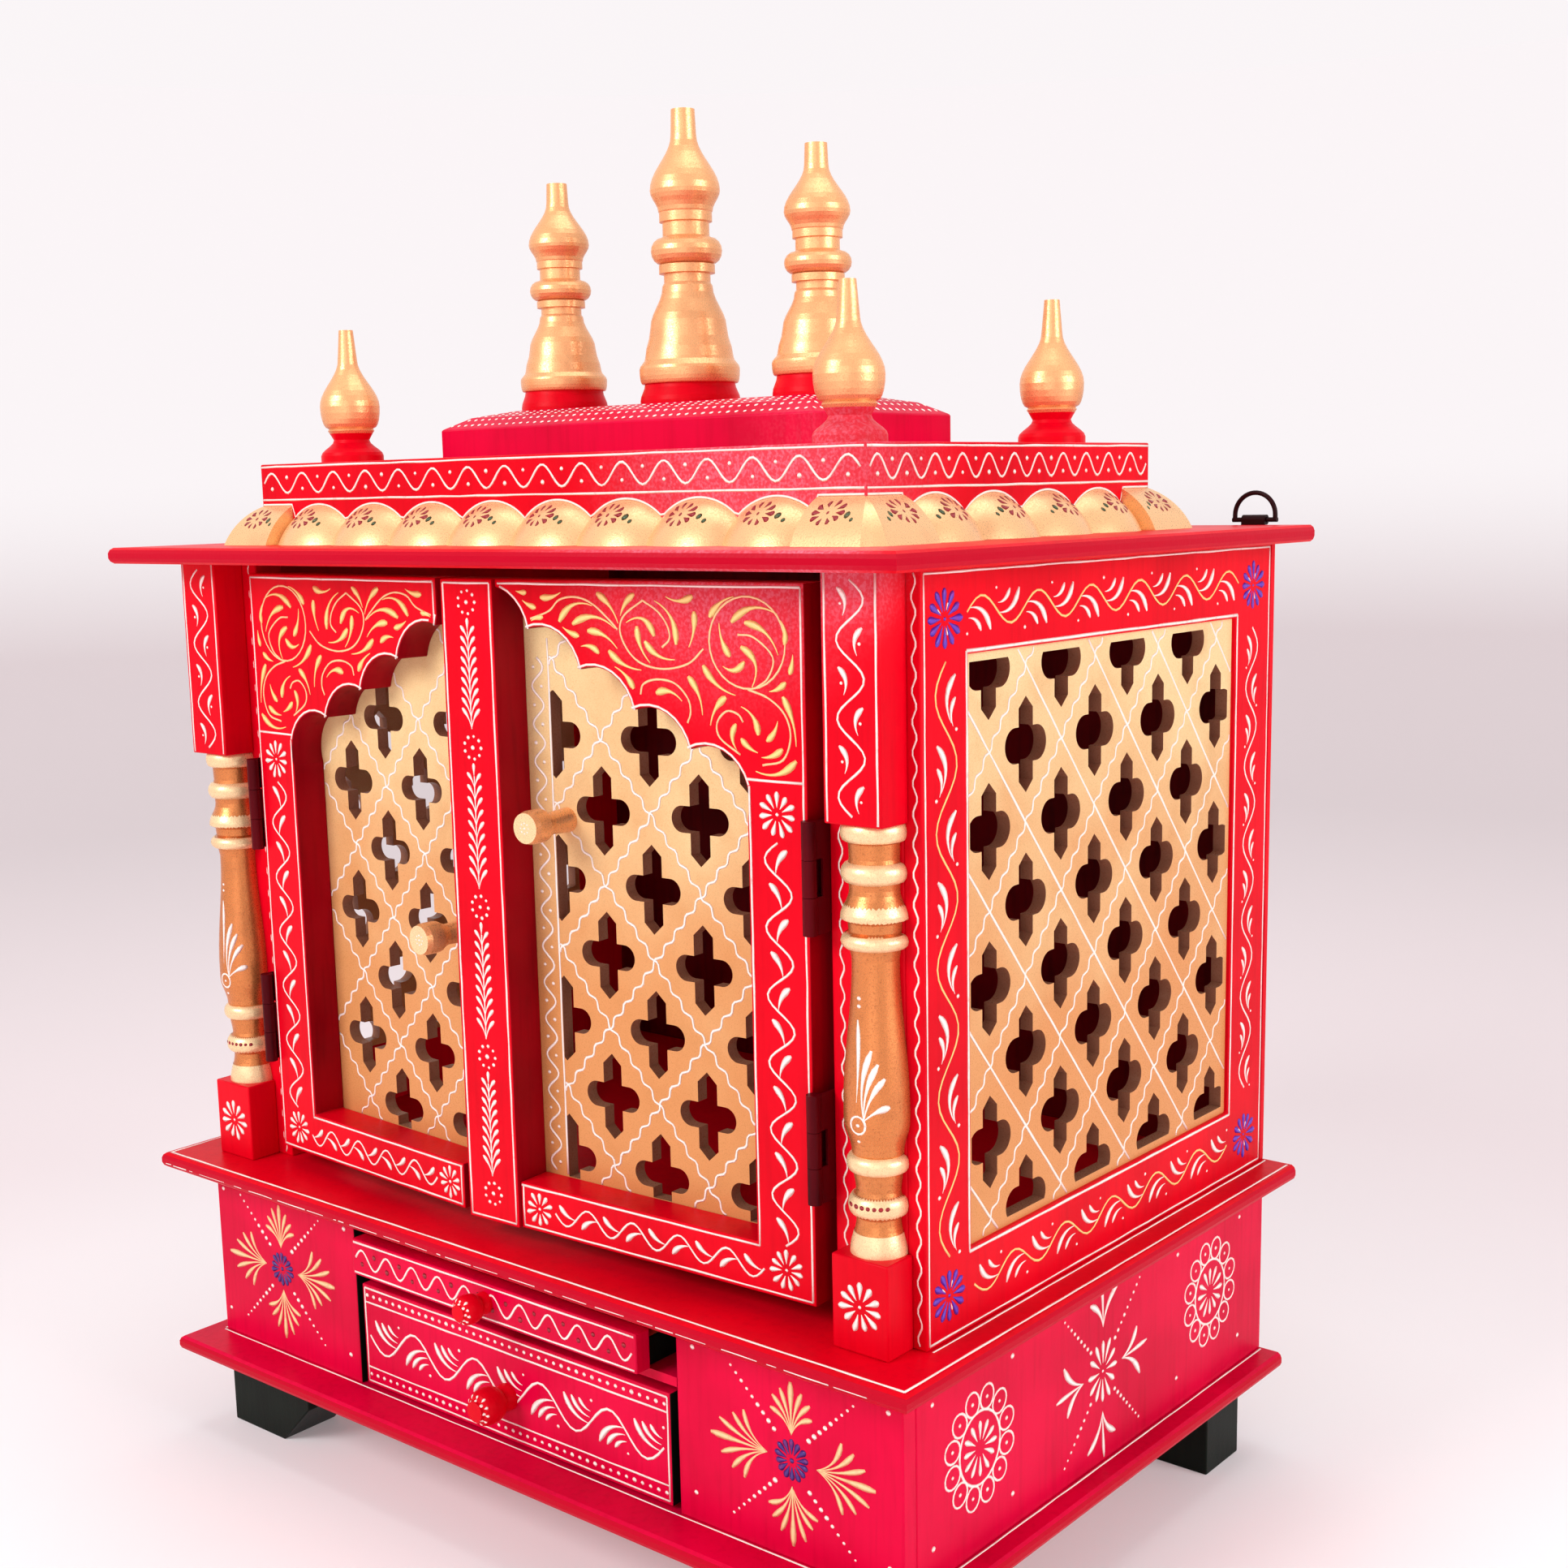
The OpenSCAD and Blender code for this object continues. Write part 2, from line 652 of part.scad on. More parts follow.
// A turned knob with a flat face, with its back at y = 0
module drum_knob(l, r) rotate([90, 0, 0]) turned(concat(
    ease(0, r * 0.74, l * 0.45, r * 0.66, 5), ease(l * 0.5, r * 0.74, l * 0.66, r, 4),
    [[r, l * 0.9], [r * 0.9, l]]));

module left_door_knob() color(gold) ajar(-1)
    translate([left_end - left_knob_in, lattice_y, door_z + left_knob_z])
    drum_knob(door_knob_l, door_knob_r);

module right_door_knob() color(gold) ajar(1)
    translate([batten_end + right_knob_in, lattice_y, door_z + right_knob_z])
    drum_knob(door_knob_l, door_knob_r);

// Hinges: three knuckles, the middle one on the door

knuckle_l = hinge_l / 3;
leaf_start = pin_r + 2 * pin_gap;
fixed_leaf_l = hinge_out + door_proud + stile_t - leaf_short;
door_leaf_l = hinge_out + door_t - leaf_short;

module pipe(r, bore, z0, z1) translate([0, 0, z0]) difference() {
    cylinder(r = r, h = z1 - z0);
    translate([0, 0, -past]) cylinder(r = bore, h = z1 - z0 + 2 * past);
}

hinge_heights = [door_z + hinge_low, door_z + hinge_high];

// Fixed half on the right: leaf on the stile's inner edge, end knuckles and the pin through all three
module fixed_leaf() translate([hinge_x, hinge_y, 0]) for (z = hinge_heights) translate([0, 0, z]) {
    for (s = [-1, 1]) translate([0, 0, s * knuckle_l]) {
        translate([0, 0, -knuckle_l / 2]) cylinder(r = barrel_r, h = knuckle_l);
        box(door_gap / 2 - leaf_t, door_gap / 2, leaf_start, fixed_leaf_l, -knuckle_l / 2, knuckle_l / 2);
    }
    translate([0, 0, -hinge_l / 2]) cylinder(r = pin_r, h = hinge_l);
    box(door_gap / 2 - leaf_t, door_gap / 2, 2 * barrel_r, fixed_leaf_l, -hinge_l / 2, hinge_l / 2);
}

module hinge_leaves() color(iron) both_sides() fixed_leaf();

// Moving half on the right door: leaf on the door's outer edge and the middle knuckle
module door_leaf() translate([hinge_x, hinge_y, 0]) for (z = hinge_heights) translate([0, 0, z]) {
    half = knuckle_l / 2 - pin_gap;
    difference() {
        union() {
            cylinder(r = barrel_r, h = 2 * half, center = true);
            box(-door_gap / 2, -door_gap / 2 + leaf_t, leaf_start, door_leaf_l, -half, half);
        }
        cylinder(r = pin_r + pin_gap, h = knuckle_l, center = true);
    }
}

module left_door_leaves() color(iron) ajar(-1) mirror([1, 0, 0]) door_leaf();

module right_door_leaves() color(iron) ajar(1) door_leaf();

// Roof

module top_plate() color(red) plate(top_plate_w, top_plate_d, top_z);

module tier_box() color(crimson)
    box(-tier_w / 2, tier_w / 2, tier_y - tier_d / 2, tier_y + tier_d / 2, tier_z, slab_z);

// Cornice: petals that are parts of balls, each within its own stretch of the row
cornice_w = tier_w + 2 * petal_out;
cornice_d = tier_d + 2 * petal_out;
petal_w = cornice_w / front_petals;
petal_valley = petal_h * 0.3;
petal_r = (petal_w * petal_w / 4 + petal_valley * petal_valley) / (2 * petal_valley);
petal_reach = sqrt(petal_r * petal_r - pow(petal_r - petal_h, 2));

module petal(x, y) translate([x, y, petal_h - petal_r]) sphere(petal_r);

// The petals of one side between its corners, drawn as the front side
module petal_row(depth, pitch, count) for (i = [1:count - 2]) {
    x = pitch * (i - count / 2);
    intersection() {
        petal(x + pitch / 2, petal_reach - depth / 2);
        box(x, x + pitch, -depth / 2 - past, petal_out - depth / 2, 0, petal_h + past);
    }
}

// A round bar along X or Y that gives one side of a corner petal the slope of its row
module slope_x() translate([-cornice_w, petal_reach - cornice_d / 2, petal_h - petal_r]) rotate([0, 90, 0])
    cylinder(r = petal_r + overlap, h = cornice_w);

module slope_y() translate([petal_reach - cornice_w / 2, 0, petal_h - petal_r]) rotate([90, 0, 0])
    cylinder(r = petal_r + overlap, h = cornice_d);

// The front left corner's petal, wrapped round the corner of the tier box: the ball of each row under the
// slope of the other
module corner_petal() difference() {
    intersection() {
        union() {
            intersection() {
                petal((petal_w - cornice_w) / 2, petal_reach - cornice_d / 2);
                slope_y();
            }
            intersection() {
                petal(petal_reach - cornice_w / 2, (cornice_d / side_petals - cornice_d) / 2);
                slope_x();
            }
        }
        box(-cornice_w / 2 - past, petal_w - cornice_w / 2, -cornice_d / 2 - past,
            cornice_d / side_petals - cornice_d / 2, 0, petal_h + past);
    }
    box(-tier_w / 2, 0, -tier_d / 2, 0, -past, petal_h + 2 * past);
}

module cornice() color(gold) translate([0, tier_y, tier_z]) for (turn = [0, 180]) rotate([0, 0, turn]) {
    petal_row(cornice_d, petal_w, front_petals);
    rotate([0, 0, 90]) petal_row(cornice_w, cornice_d / side_petals, side_petals);
    corner_petal();
    mirror([1, 0, 0]) corner_petal();
}

module tier_slab() color(crimson) translate([0, tier_y, slab_z]) hull() {
    box(-slab_w / 2, slab_w / 2, -slab_d / 2, slab_d / 2, 0, slab_h);
    for (t = [0.4, 1]) translate([0, 0, slab_h + crown_h * (1 - pow(1 - t, 2)) - slice])
        box(-slab_w / 2 + crown_run * t, slab_w / 2 - crown_run * t,
            -slab_d / 2 + crown_run * t, slab_d / 2 - crown_run * t, 0, slice);
}

// A spire of height h above its disc; girth widens or narrows it
module spire(h, girth) {
    bell = spire_bell_r * girth;
    bulb = spire_bulb_r * girth;
    neck = spire_neck_r * girth;
    tip = spire_tip_r * girth;
    turned(concat(
        quarter(0, bell * 0.95, h * 0.045, bell), ease(h * 0.055, bell, h * 0.097, bell * 0.88, 4),
        ease(h * 0.097, bell * 0.88, h * 0.208, bell * 0.76, 3),
        ease(h * 0.208, bell * 0.76, h * 0.36, neck * 1.08),
        [[neck, h * 0.372], [neck, h * 0.403], [neck * 1.2, h * 0.406], [neck * 1.2, h * 0.437]],
        bead(h * 0.441, h * 0.535, neck * 1.1, bulb * 1.02, 8),
        [[neck, h * 0.542], [neck, h * 0.59], [neck * 1.13, h * 0.594], [neck * 1.13, h * 0.628]],
        ease(h * 0.632, neck * 1.16, h * 0.708, bulb, 5), ease(h * 0.708, bulb, h * 0.91, tip * 1.08, 9),
        [[tip, h]]));
}

module spire_disc(girth) {
    r = spire_bell_r * girth;
    turned(concat([[r, 0]], ease(spire_disc_h * 0.18, r, spire_disc_h, r * 0.9, 4)));
}

// x, y, height and girth of each spire
spires = [
    [-spire_pitch, 0, side_spire_h, side_bell_r / spire_bell_r],
    [0, spire_mid_back, spire_h, 1],
    [spire_pitch, 0, side_spire_h, side_bell_r / spire_bell_r]
];

module spire_at(i) color(gold) translate([spires[i][0], tier_y + spires[i][1], spire_z + spire_disc_h])
    spire(spires[i][2] - spire_disc_h, spires[i][3]);

module spire_left() spire_at(0);

module spire_centre() spire_at(1);

module spire_right() spire_at(2);

module spire_discs() color(red) for (s = spires) translate([s[0], tier_y + s[1], spire_z]) spire_disc(s[3]);

module at_finials() for (x = [-1, 1], y = [-1, 1])
    translate([x * (tier_w / 2 - finial_inset), tier_y + y * (tier_d / 2 - finial_inset), slab_z]) children();

module finials() color(gold) {
    h = finial_h - finial_disc_h;
    r = finial_r;
    at_finials() translate([0, 0, finial_disc_h]) turned(concat(
        [[r * 0.72, 0], [r * 0.78, h * 0.026], [r * 0.74, h * 0.045]],
        quarter(h * 0.052, r * 0.78, h * 0.26, r, 5),
        ease(h * 0.26, r, h * 0.72, finial_tip_r * 1.35, 9), [[finial_tip_r, h]]));
}

module finial_discs() color(red) at_finials()
    turned(concat([[finial_r * 1.05, 0], [finial_r * 1.05, finial_disc_h * 0.24]],
                  ease(finial_disc_h * 0.24, finial_r * 1.05, finial_disc_h * 0.78, finial_neck_r, 5),
                  [[finial_r * 0.72, finial_disc_h]]));

// Hangers: a strap on the back with a rolled eye that holds a wire ring

eye_z = tier_z + eye_r;
eye_y = wall_y + eye_r;

module hanger_straps() color(iron) both_sides() translate([hanger_x, 0, 0]) {
    box(-strap_w / 2, strap_w / 2, wall_y, wall_y + strap_t, eye_z - strap_l, eye_z);
    translate([0, eye_y, eye_z]) rotate([0, 90, 0]) pipe(eye_r, wire_r + pin_gap, -strap_w / 2, strap_w / 2);
}

module hanger_rings() color(iron) both_sides() translate([hanger_x, eye_y, eye_z]) {
    leg_h = ring_h - ring_w / 2 - wire_r;
    translate([-ring_w / 2 - wire_r, 0, 0]) rotate([0, 90, 0]) cylinder(r = wire_r, h = ring_w + 2 * wire_r);
    for (s = [-1, 1]) translate([s * ring_w / 2, 0, 0]) cylinder(r = wire_r, h = leg_h);
    translate([0, 0, leg_h]) rotate([90, 0, 0]) rotate_extrude(angle = 180)
        translate([ring_w / 2, 0]) circle(wire_r);
}

feet();
base_plate();
plinth_left();
plinth_right();
plinth_back();
plinth_front_left();
plinth_front_right();
plinth_rail();
tray_shelf();
drawer_runners();
mid_plate();
side_frame_left();
side_frame_right();
side_lattice_left();
side_lattice_right();
stile_left();
stile_right();
back_panel();
column_left();
column_right();
column_blocks();
top_plate();
cornice();
tier_box();
tier_slab();
spire_left();
spire_centre();
spire_right();
spire_discs();
finials();
finial_discs();
hanger_straps();
hanger_rings();
hinge_leaves();
left_door_frame();
left_door_lattice();
left_door_knob();
left_door_leaves();
right_door_frame();
right_door_batten();
right_door_lattice();
right_door_knob();
right_door_leaves();
drawer_front();
drawer_box();
drawer_knob();
tray_front();
tray_box();
tray_knob();
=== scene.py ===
import json
import math
import random

import bmesh
import bpy
from mathutils import Matrix, Vector
from mathutils.bvhtree import BVHTree

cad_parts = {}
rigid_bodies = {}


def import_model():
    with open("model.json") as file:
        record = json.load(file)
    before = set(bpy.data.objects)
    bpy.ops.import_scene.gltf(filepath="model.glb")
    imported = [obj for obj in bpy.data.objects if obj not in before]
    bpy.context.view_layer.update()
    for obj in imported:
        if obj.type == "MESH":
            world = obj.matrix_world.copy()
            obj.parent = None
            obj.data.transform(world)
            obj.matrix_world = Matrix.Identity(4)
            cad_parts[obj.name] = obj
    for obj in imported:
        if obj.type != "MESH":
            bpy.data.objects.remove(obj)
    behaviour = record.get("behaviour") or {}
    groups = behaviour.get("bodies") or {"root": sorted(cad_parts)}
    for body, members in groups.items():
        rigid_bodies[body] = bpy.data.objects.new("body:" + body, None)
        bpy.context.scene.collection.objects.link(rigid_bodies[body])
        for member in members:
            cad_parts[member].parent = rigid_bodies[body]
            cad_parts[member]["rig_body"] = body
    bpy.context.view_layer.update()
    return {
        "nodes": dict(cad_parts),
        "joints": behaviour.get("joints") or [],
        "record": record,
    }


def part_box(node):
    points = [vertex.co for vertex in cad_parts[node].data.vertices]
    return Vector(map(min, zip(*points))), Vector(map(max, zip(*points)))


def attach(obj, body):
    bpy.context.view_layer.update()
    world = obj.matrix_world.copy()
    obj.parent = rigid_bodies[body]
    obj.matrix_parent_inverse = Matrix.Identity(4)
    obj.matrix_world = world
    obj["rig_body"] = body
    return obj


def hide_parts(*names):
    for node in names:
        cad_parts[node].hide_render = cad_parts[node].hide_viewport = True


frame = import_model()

bl_info = {
    "name": "Painted home temple",
    "version": (1, 0, 0),
    "blender": (4, 5, 0),
    "location": "3D View > Sidebar > Temple",
    "description": "Eased boards, enamel, gold paint and brushed ornament for a wooden home temple",
    "category": "Add Mesh",
}

MM = 0.001
MERGE = 1e-6  # corners nearer than this, in metres, are one
COAT = 0.2  # thickness of the paler coat on the columns' rings, in millimetres
SIDES = (("right", 1.0), ("left", -1.0))
hand = random.Random(11)

SLOT_OF = {part["node"]: part["material_slot"] for part in frame["record"]["subparts"]}
HINGE = {joint["child"]: joint for joint in frame["joints"] if joint["type"] == "hinge"}
AJAR = {"left_door": math.radians(-3.0), "right_door": math.radians(3.0)}


def paint_pot(red, green, blue):
    """Linear colour of a paint given as a screen colour from 0 to 255."""
    def linear(c):
        c /= 255.0
        return c / 12.92 if c <= 0.04045 else ((c + 0.055) / 1.055) ** 2.4
    return (linear(red), linear(green), linear(blue))


def millimetres(node):
    """Lowest and highest corner of a CAD node, in millimetres."""
    low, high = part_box(node)
    return low / MM, high / MM


# Paints, sizes and a stage that a user may change


def colour_property(name, description, screen_colour):
    return bpy.props.FloatVectorProperty(
        name=name, description=description, subtype="COLOR", size=3, min=0.0, max=1.0,
        default=paint_pot(*screen_colour))


def number(name, description, default, **limits):
    return bpy.props.FloatProperty(name=name, description=description, default=default, **limits)


class TemplePaints(bpy.types.PropertyGroup):
    """Paints and metals of the temple."""
    red: colour_property("Red enamel", "Gloss enamel of the cabinet and the doors", (224, 0, 28))
    red_shade: colour_property("Red shade", "Darker tone where the red enamel is thin", (196, 0, 22))
    crimson: colour_property("Crimson enamel", "Gloss enamel of the plinth and the tiers", (218, 0, 60))
    crimson_shade: colour_property("Crimson shade", "Darker tone where the crimson is thin", (186, 0, 44))
    gold: colour_property("Turned gold", "Metallic paint of spires, finials and knobs", (239, 176, 120))
    gold_deep: colour_property("Deep gold", "Brown tone between the gold flakes", (170, 104, 60))
    copper: colour_property("Column gold", "Redder metallic paint of the columns", (214, 132, 74))
    copper_deep: colour_property("Deep column gold", "Brown specks in the column's paint", (142, 78, 40))
    bead: colour_property("Bead gold", "Paler gold on the rings of the columns", (246, 212, 162))
    cornice: colour_property("Cornice gold", "Pale metallic paint of the scalloped cornice", (242, 194, 138))
    # Painted light and shade: the cut-out boards run from a paler gold at the top to a darker peach at the foot
    lattice: colour_property("Lattice gold", "Matte gold at the top of the cut-out boards", (236, 212, 158))
    lattice_foot: colour_property("Lattice peach", "Matte gold at the foot of the cut-out boards", (213, 146, 90))
    lattice_deep: colour_property("Lattice brown", "Tone of the cut-out boards where paint is thin", (192, 130, 72))
    cut_wall: colour_property("Cut wall", "Darker walls of the cut-outs", (150, 100, 76))
    white: colour_property("White", "Brushed lines, dots and petals", (255, 242, 234))
    cream: colour_property("Cream", "Brushed scrolls and vine stems", (252, 216, 134))
    peach: colour_property("Peach", "Brushed fans of the plinth", (252, 208, 152))
    violet: colour_property("Violet", "Corner flowers of the sides", (88, 44, 182))
    indigo: colour_property("Indigo", "Hearts of the plinth bursts", (62, 30, 120))
    green: colour_property("Green", "Dots beside the cornice flowers", (44, 74, 36))
    ruby: colour_property("Ruby", "Cornice flowers and dark dots", (142, 8, 28))
    # Painted highlight: this pale speckle stands for light glinting on the enamel
    glint: colour_property("Painted glint", "Painted highlight: pale speckle where light glints on the enamel", (226, 138, 160))
    # Red paint of the inside, darkened as painted shade
    inner_red: colour_property("Inner red and shade", "Red paint inside the cabinet's back, darkened as painted shade", (120, 0, 14))
    # Painted shade: a darker red on the door frames' jambs and soffits, and the batten's sides
    edge_red: colour_property("Jamb shade red", "Painted shade on the jambs and soffits of the door frames", (160, 0, 22))
    # Painted shade: a darker red on the plates' upright edges, as if they were less lit than their tops
    plate_edge_shade: colour_property("Plate edge shade", "Painted shade on the upright edges of the three plates", (184, 0, 34))
    iron: colour_property("Iron", "Straps and rings of the hangers", (44, 10, 14))
    hinge: colour_property("Hinge paint", "Dark red on the hinges", (92, 2, 14))
    wood: colour_property("Bare wood", "Boxes and the plinth's back", (196, 152, 104))
    foot: colour_property("Foot paint and gap shade", "Dark paint of the feet, also black laid as painted shade in the gaps by the drawer and tray", (20, 26, 20))


class TempleSizes(bpy.types.PropertyGroup):
    """Sizes of the brushwork and of the boards' edges."""
    line: number("Line", "Width of a border line", 1.2 * MM, min=0.4 * MM, max=3 * MM, unit="LENGTH")
    relief: number(
        "Relief", "Height of a stroke as a share of its half width", 0.3, min=0.1, max=1.0, subtype="FACTOR")
    edge: number("Edge", "Rounding of the boards' edges", 0.8 * MM, min=0.2 * MM, max=2 * MM, unit="LENGTH")


class TempleStage(bpy.types.PropertyGroup):
    """Camera and floor."""
    eye: bpy.props.FloatVectorProperty(
        name="Eye", description="Place of the camera", subtype="TRANSLATION", unit="LENGTH", size=3,
        default=(0.76217, -0.84755, 0.56004))
    turn: number("Turn", "How far the camera looks to the left of straight ahead", 0.6974, subtype="ANGLE")
    dip: number("Dip", "How far the camera looks down", 0.1691, subtype="ANGLE")
    roll: number("Roll", "How far the camera leans", -0.0217, subtype="ANGLE")
    lens: number("Lens", "Focal length", 46.58, unit="CAMERA")
    shift: bpy.props.FloatVectorProperty(
        name="Shift", description="Shift of the picture's middle", size=2, default=(0.00744, 0.03174))
    floor: colour_property("Floor", "Pale floor round the temple", (252, 248, 250))
    haze: colour_property("Haze", "Tone of the floor further off and of its rim", (245, 228, 231))


# Shader recipes


class Recipe:
    """Adds shader nodes to a tree and joins them."""

    def __init__(self, tree):
        self.tree = tree

    def put(self, node, key, value):
        socket = node.inputs[key.replace("_", " ") if isinstance(key, str) else key]
        if isinstance(value, bpy.types.NodeSocket):
            self.tree.links.new(value, socket)
        elif socket.type == "RGBA" and len(value) == 3:
            socket.default_value = (*value, 1.0)
        else:
            socket.default_value = value

    def add(self, kind, settings=(), **inputs):
        node = self.tree.nodes.new(kind)
        for key, value in dict(settings).items():
            setattr(node, key, value)
        return self.fill(node, **inputs)

    def fill(self, node, **inputs):
        for key, value in inputs.items():
            self.put(node, key, value)
        return node

    def noise(self, coords, scale, detail=2.0):
        return self.add("ShaderNodeTexNoise", Vector=coords, Scale=scale, Detail=detail).outputs[0]

    def span(self, value, low, high, to_low=0.0, to_high=1.0):
        return self.add("ShaderNodeMapRange", {"interpolation_type": "SMOOTHSTEP"}, Value=value, From_Min=low,
                        From_Max=high, To_Min=to_low, To_Max=to_high).outputs[0]

    def sums(self, operation, a, b):
        return self.joined("ShaderNodeMath", operation, a, b).outputs[0]

    def vector(self, operation, *inputs):
        return self.joined("ShaderNodeVectorMath", operation, *inputs).outputs["Value"]

    def joined(self, kind, operation, *inputs):
        node = self.add(kind, {"operation": operation})
        for key, value in enumerate(inputs):
            self.put(node, key, value)
        return node

    def mix(self, factor, a, b):
        node = self.add("ShaderNodeMix", {"data_type": "RGBA"})
        for key, value in ((0, factor), (6, a), (7, b)):
            self.put(node, key, value)
        return node.outputs[2]

    def stretched(self, coords, scale):
        return self.add("ShaderNodeMapping", Vector=coords, Scale=scale).outputs[0]

    def seen(self):
        """1 for what the camera sees, by itself or in metal, and 0 for light on other things."""
        path = self.add("ShaderNodeLightPath").outputs
        by_metal = self.sums("MAXIMUM", path["Is Glossy Ray"], path["Is Transmission Ray"])
        return self.sums("MAXIMUM", path["Is Camera Ray"], by_metal)

    def place(self, kind="Object"):
        return self.add("ShaderNodeTexCoord").outputs[kind]

    def height(self, vector):
        return self.add("ShaderNodeSeparateXYZ", Vector=vector).outputs["Z"]


def new_group(name, takes, gives):
    """A shader node group with the named sockets: its recipe, what comes in and what goes out."""
    tree = bpy.data.node_groups.new(name, "ShaderNodeTree")
    for direction, sockets in (("INPUT", takes), ("OUTPUT", gives)):
        for label, kind in sockets.items():
            tree.interface.new_socket(name=label, in_out=direction, socket_type="NodeSocket" + kind)
    recipe = Recipe(tree)
    return recipe, recipe.add("NodeGroupInput").outputs, recipe.add("NodeGroupOutput")


def brushed_coat_group():
    """Enamel laid on with a brush: slow tone changes, faint strokes and a fine grain."""
    r, given, out = new_group(
        "Brushed coat", {"Colour": "Color", "Shade": "Color", "Gloss": "Float"},
        {"Colour": "Color", "Roughness": "Float", "Height": "Float"})
    coords = r.place()
    cloud = r.noise(coords, 13.0, 4.0)
    strokes = r.noise(r.stretched(coords, (90.0, 90.0, 7.0)), 3.0, 3.0)
    grain = r.noise(coords, 700.0)
    thin = r.sums("ADD", r.span(cloud, 0.35, 0.75, 0.0, 0.7), r.span(strokes, 0.45, 0.75, 0.0, 0.3))
    rough = r.sums("ADD", given["Gloss"], r.sums("MULTIPLY", r.sums("ADD", cloud, grain), 0.11))
    height = r.sums("ADD", r.sums("MULTIPLY", strokes, 0.6), r.sums("MULTIPLY", grain, 0.4))
    r.fill(out, Colour=r.mix(thin, given["Colour"], given["Shade"]), Roughness=rough, Height=height)
    return r.tree


def glint_group():
    """Painted highlight: pale speckle, where light glints on the enamel, that fades out round a centre."""
    r, given, out = new_group(
        "Painted glint", {"Colour": "Color", "Bloom": "Color", "Centre": "Vector", "Reach": "Float"},
        {"Colour": "Color"})
    coords = r.place()
    away = r.vector("DISTANCE", coords, given["Centre"])
    near = r.span(r.sums("DIVIDE", away, given["Reach"]), 1.0, 0.2)
    speckle = r.span(r.noise(coords, 640.0, 3.0), 0.4, 0.68, 0.35, 1.0)
    mask = r.sums("MULTIPLY", near, speckle)
    r.fill(out, Colour=r.mix(r.sums("MULTIPLY", mask, 0.6), given["Colour"], given["Bloom"]))
    return r.tree


def flake_group():
    """Metallic paint: bright flakes over a brown ground, thinner in patches."""
    r, given, out = new_group(
        "Gold flakes", {"Colour": "Color", "Deep": "Color", "Metal": "Float", "Specks": "Float"},
        {"Colour": "Color", "Roughness": "Float", "Metallic": "Float", "Height": "Float"})
    coords = r.place()
    flake = r.noise(coords, 1300.0, 2.0)
    patch = r.noise(coords, 38.0, 4.0)
    specks = r.sums("MULTIPLY", r.span(flake, 0.52, 0.7), given["Specks"])
    thin = r.sums("ADD", specks, r.span(patch, 0.5, 0.8, 0.0, 0.3))
    metal = r.sums("MULTIPLY", given["Metal"], r.span(patch, 0.2, 0.7, 1.0, 0.8))
    r.fill(out, Colour=r.mix(thin, given["Colour"], given["Deep"]), Metallic=metal, Height=flake,
           Roughness=r.span(flake, 0.3, 0.7, 0.24, 0.42))
    return r.tree


def fretted_group():
    """A cut-out board: paler towards its top as painted light and darker towards its foot as painted shade, and darker
    on the walls that don't face along its axis.
    """
    r, given, out = new_group(
        "Fretted board", {"Top": "Color", "Foot": "Color", "Wall": "Color", "Axis": "Vector"},
        {"Colour": "Color", "Face": "Float"})
    facing = r.vector("DOT_PRODUCT", r.place("Normal"), given["Axis"])
    face = r.span(r.sums("ABSOLUTE", facing, 0.0), 0.55, 0.85)
    coords = r.place()
    cloud = r.sums("MULTIPLY", r.sums("SUBTRACT", r.noise(coords, 17.0, 3.0), 0.5), 0.2)
    # Painted light and shade: paler towards the top, darker towards the foot
    tone = r.mix(r.span(r.sums("ADD", r.height(coords), cloud), 0.27, 0.53), given["Foot"], given["Top"])
    r.fill(out, Colour=r.mix(face, given["Wall"], tone), Face=face)
    return r.tree


def thin_paint_group():
    """Ornament paint that lets its ground show through where the brush ran dry."""
    r, given, out = new_group(
        "Thin paint", {"Colour": "Color", "Ground": "Color"}, {"Colour": "Color", "Roughness": "Float"})
    dry = r.noise(r.place(), 260.0, 3.0)
    r.fill(out, Colour=r.mix(r.span(dry, 0.52, 0.85, 0.0, 0.4), given["Colour"], given["Ground"]),
           Roughness=r.span(dry, 0.3, 0.8, 0.3, 0.55))
    return r.tree


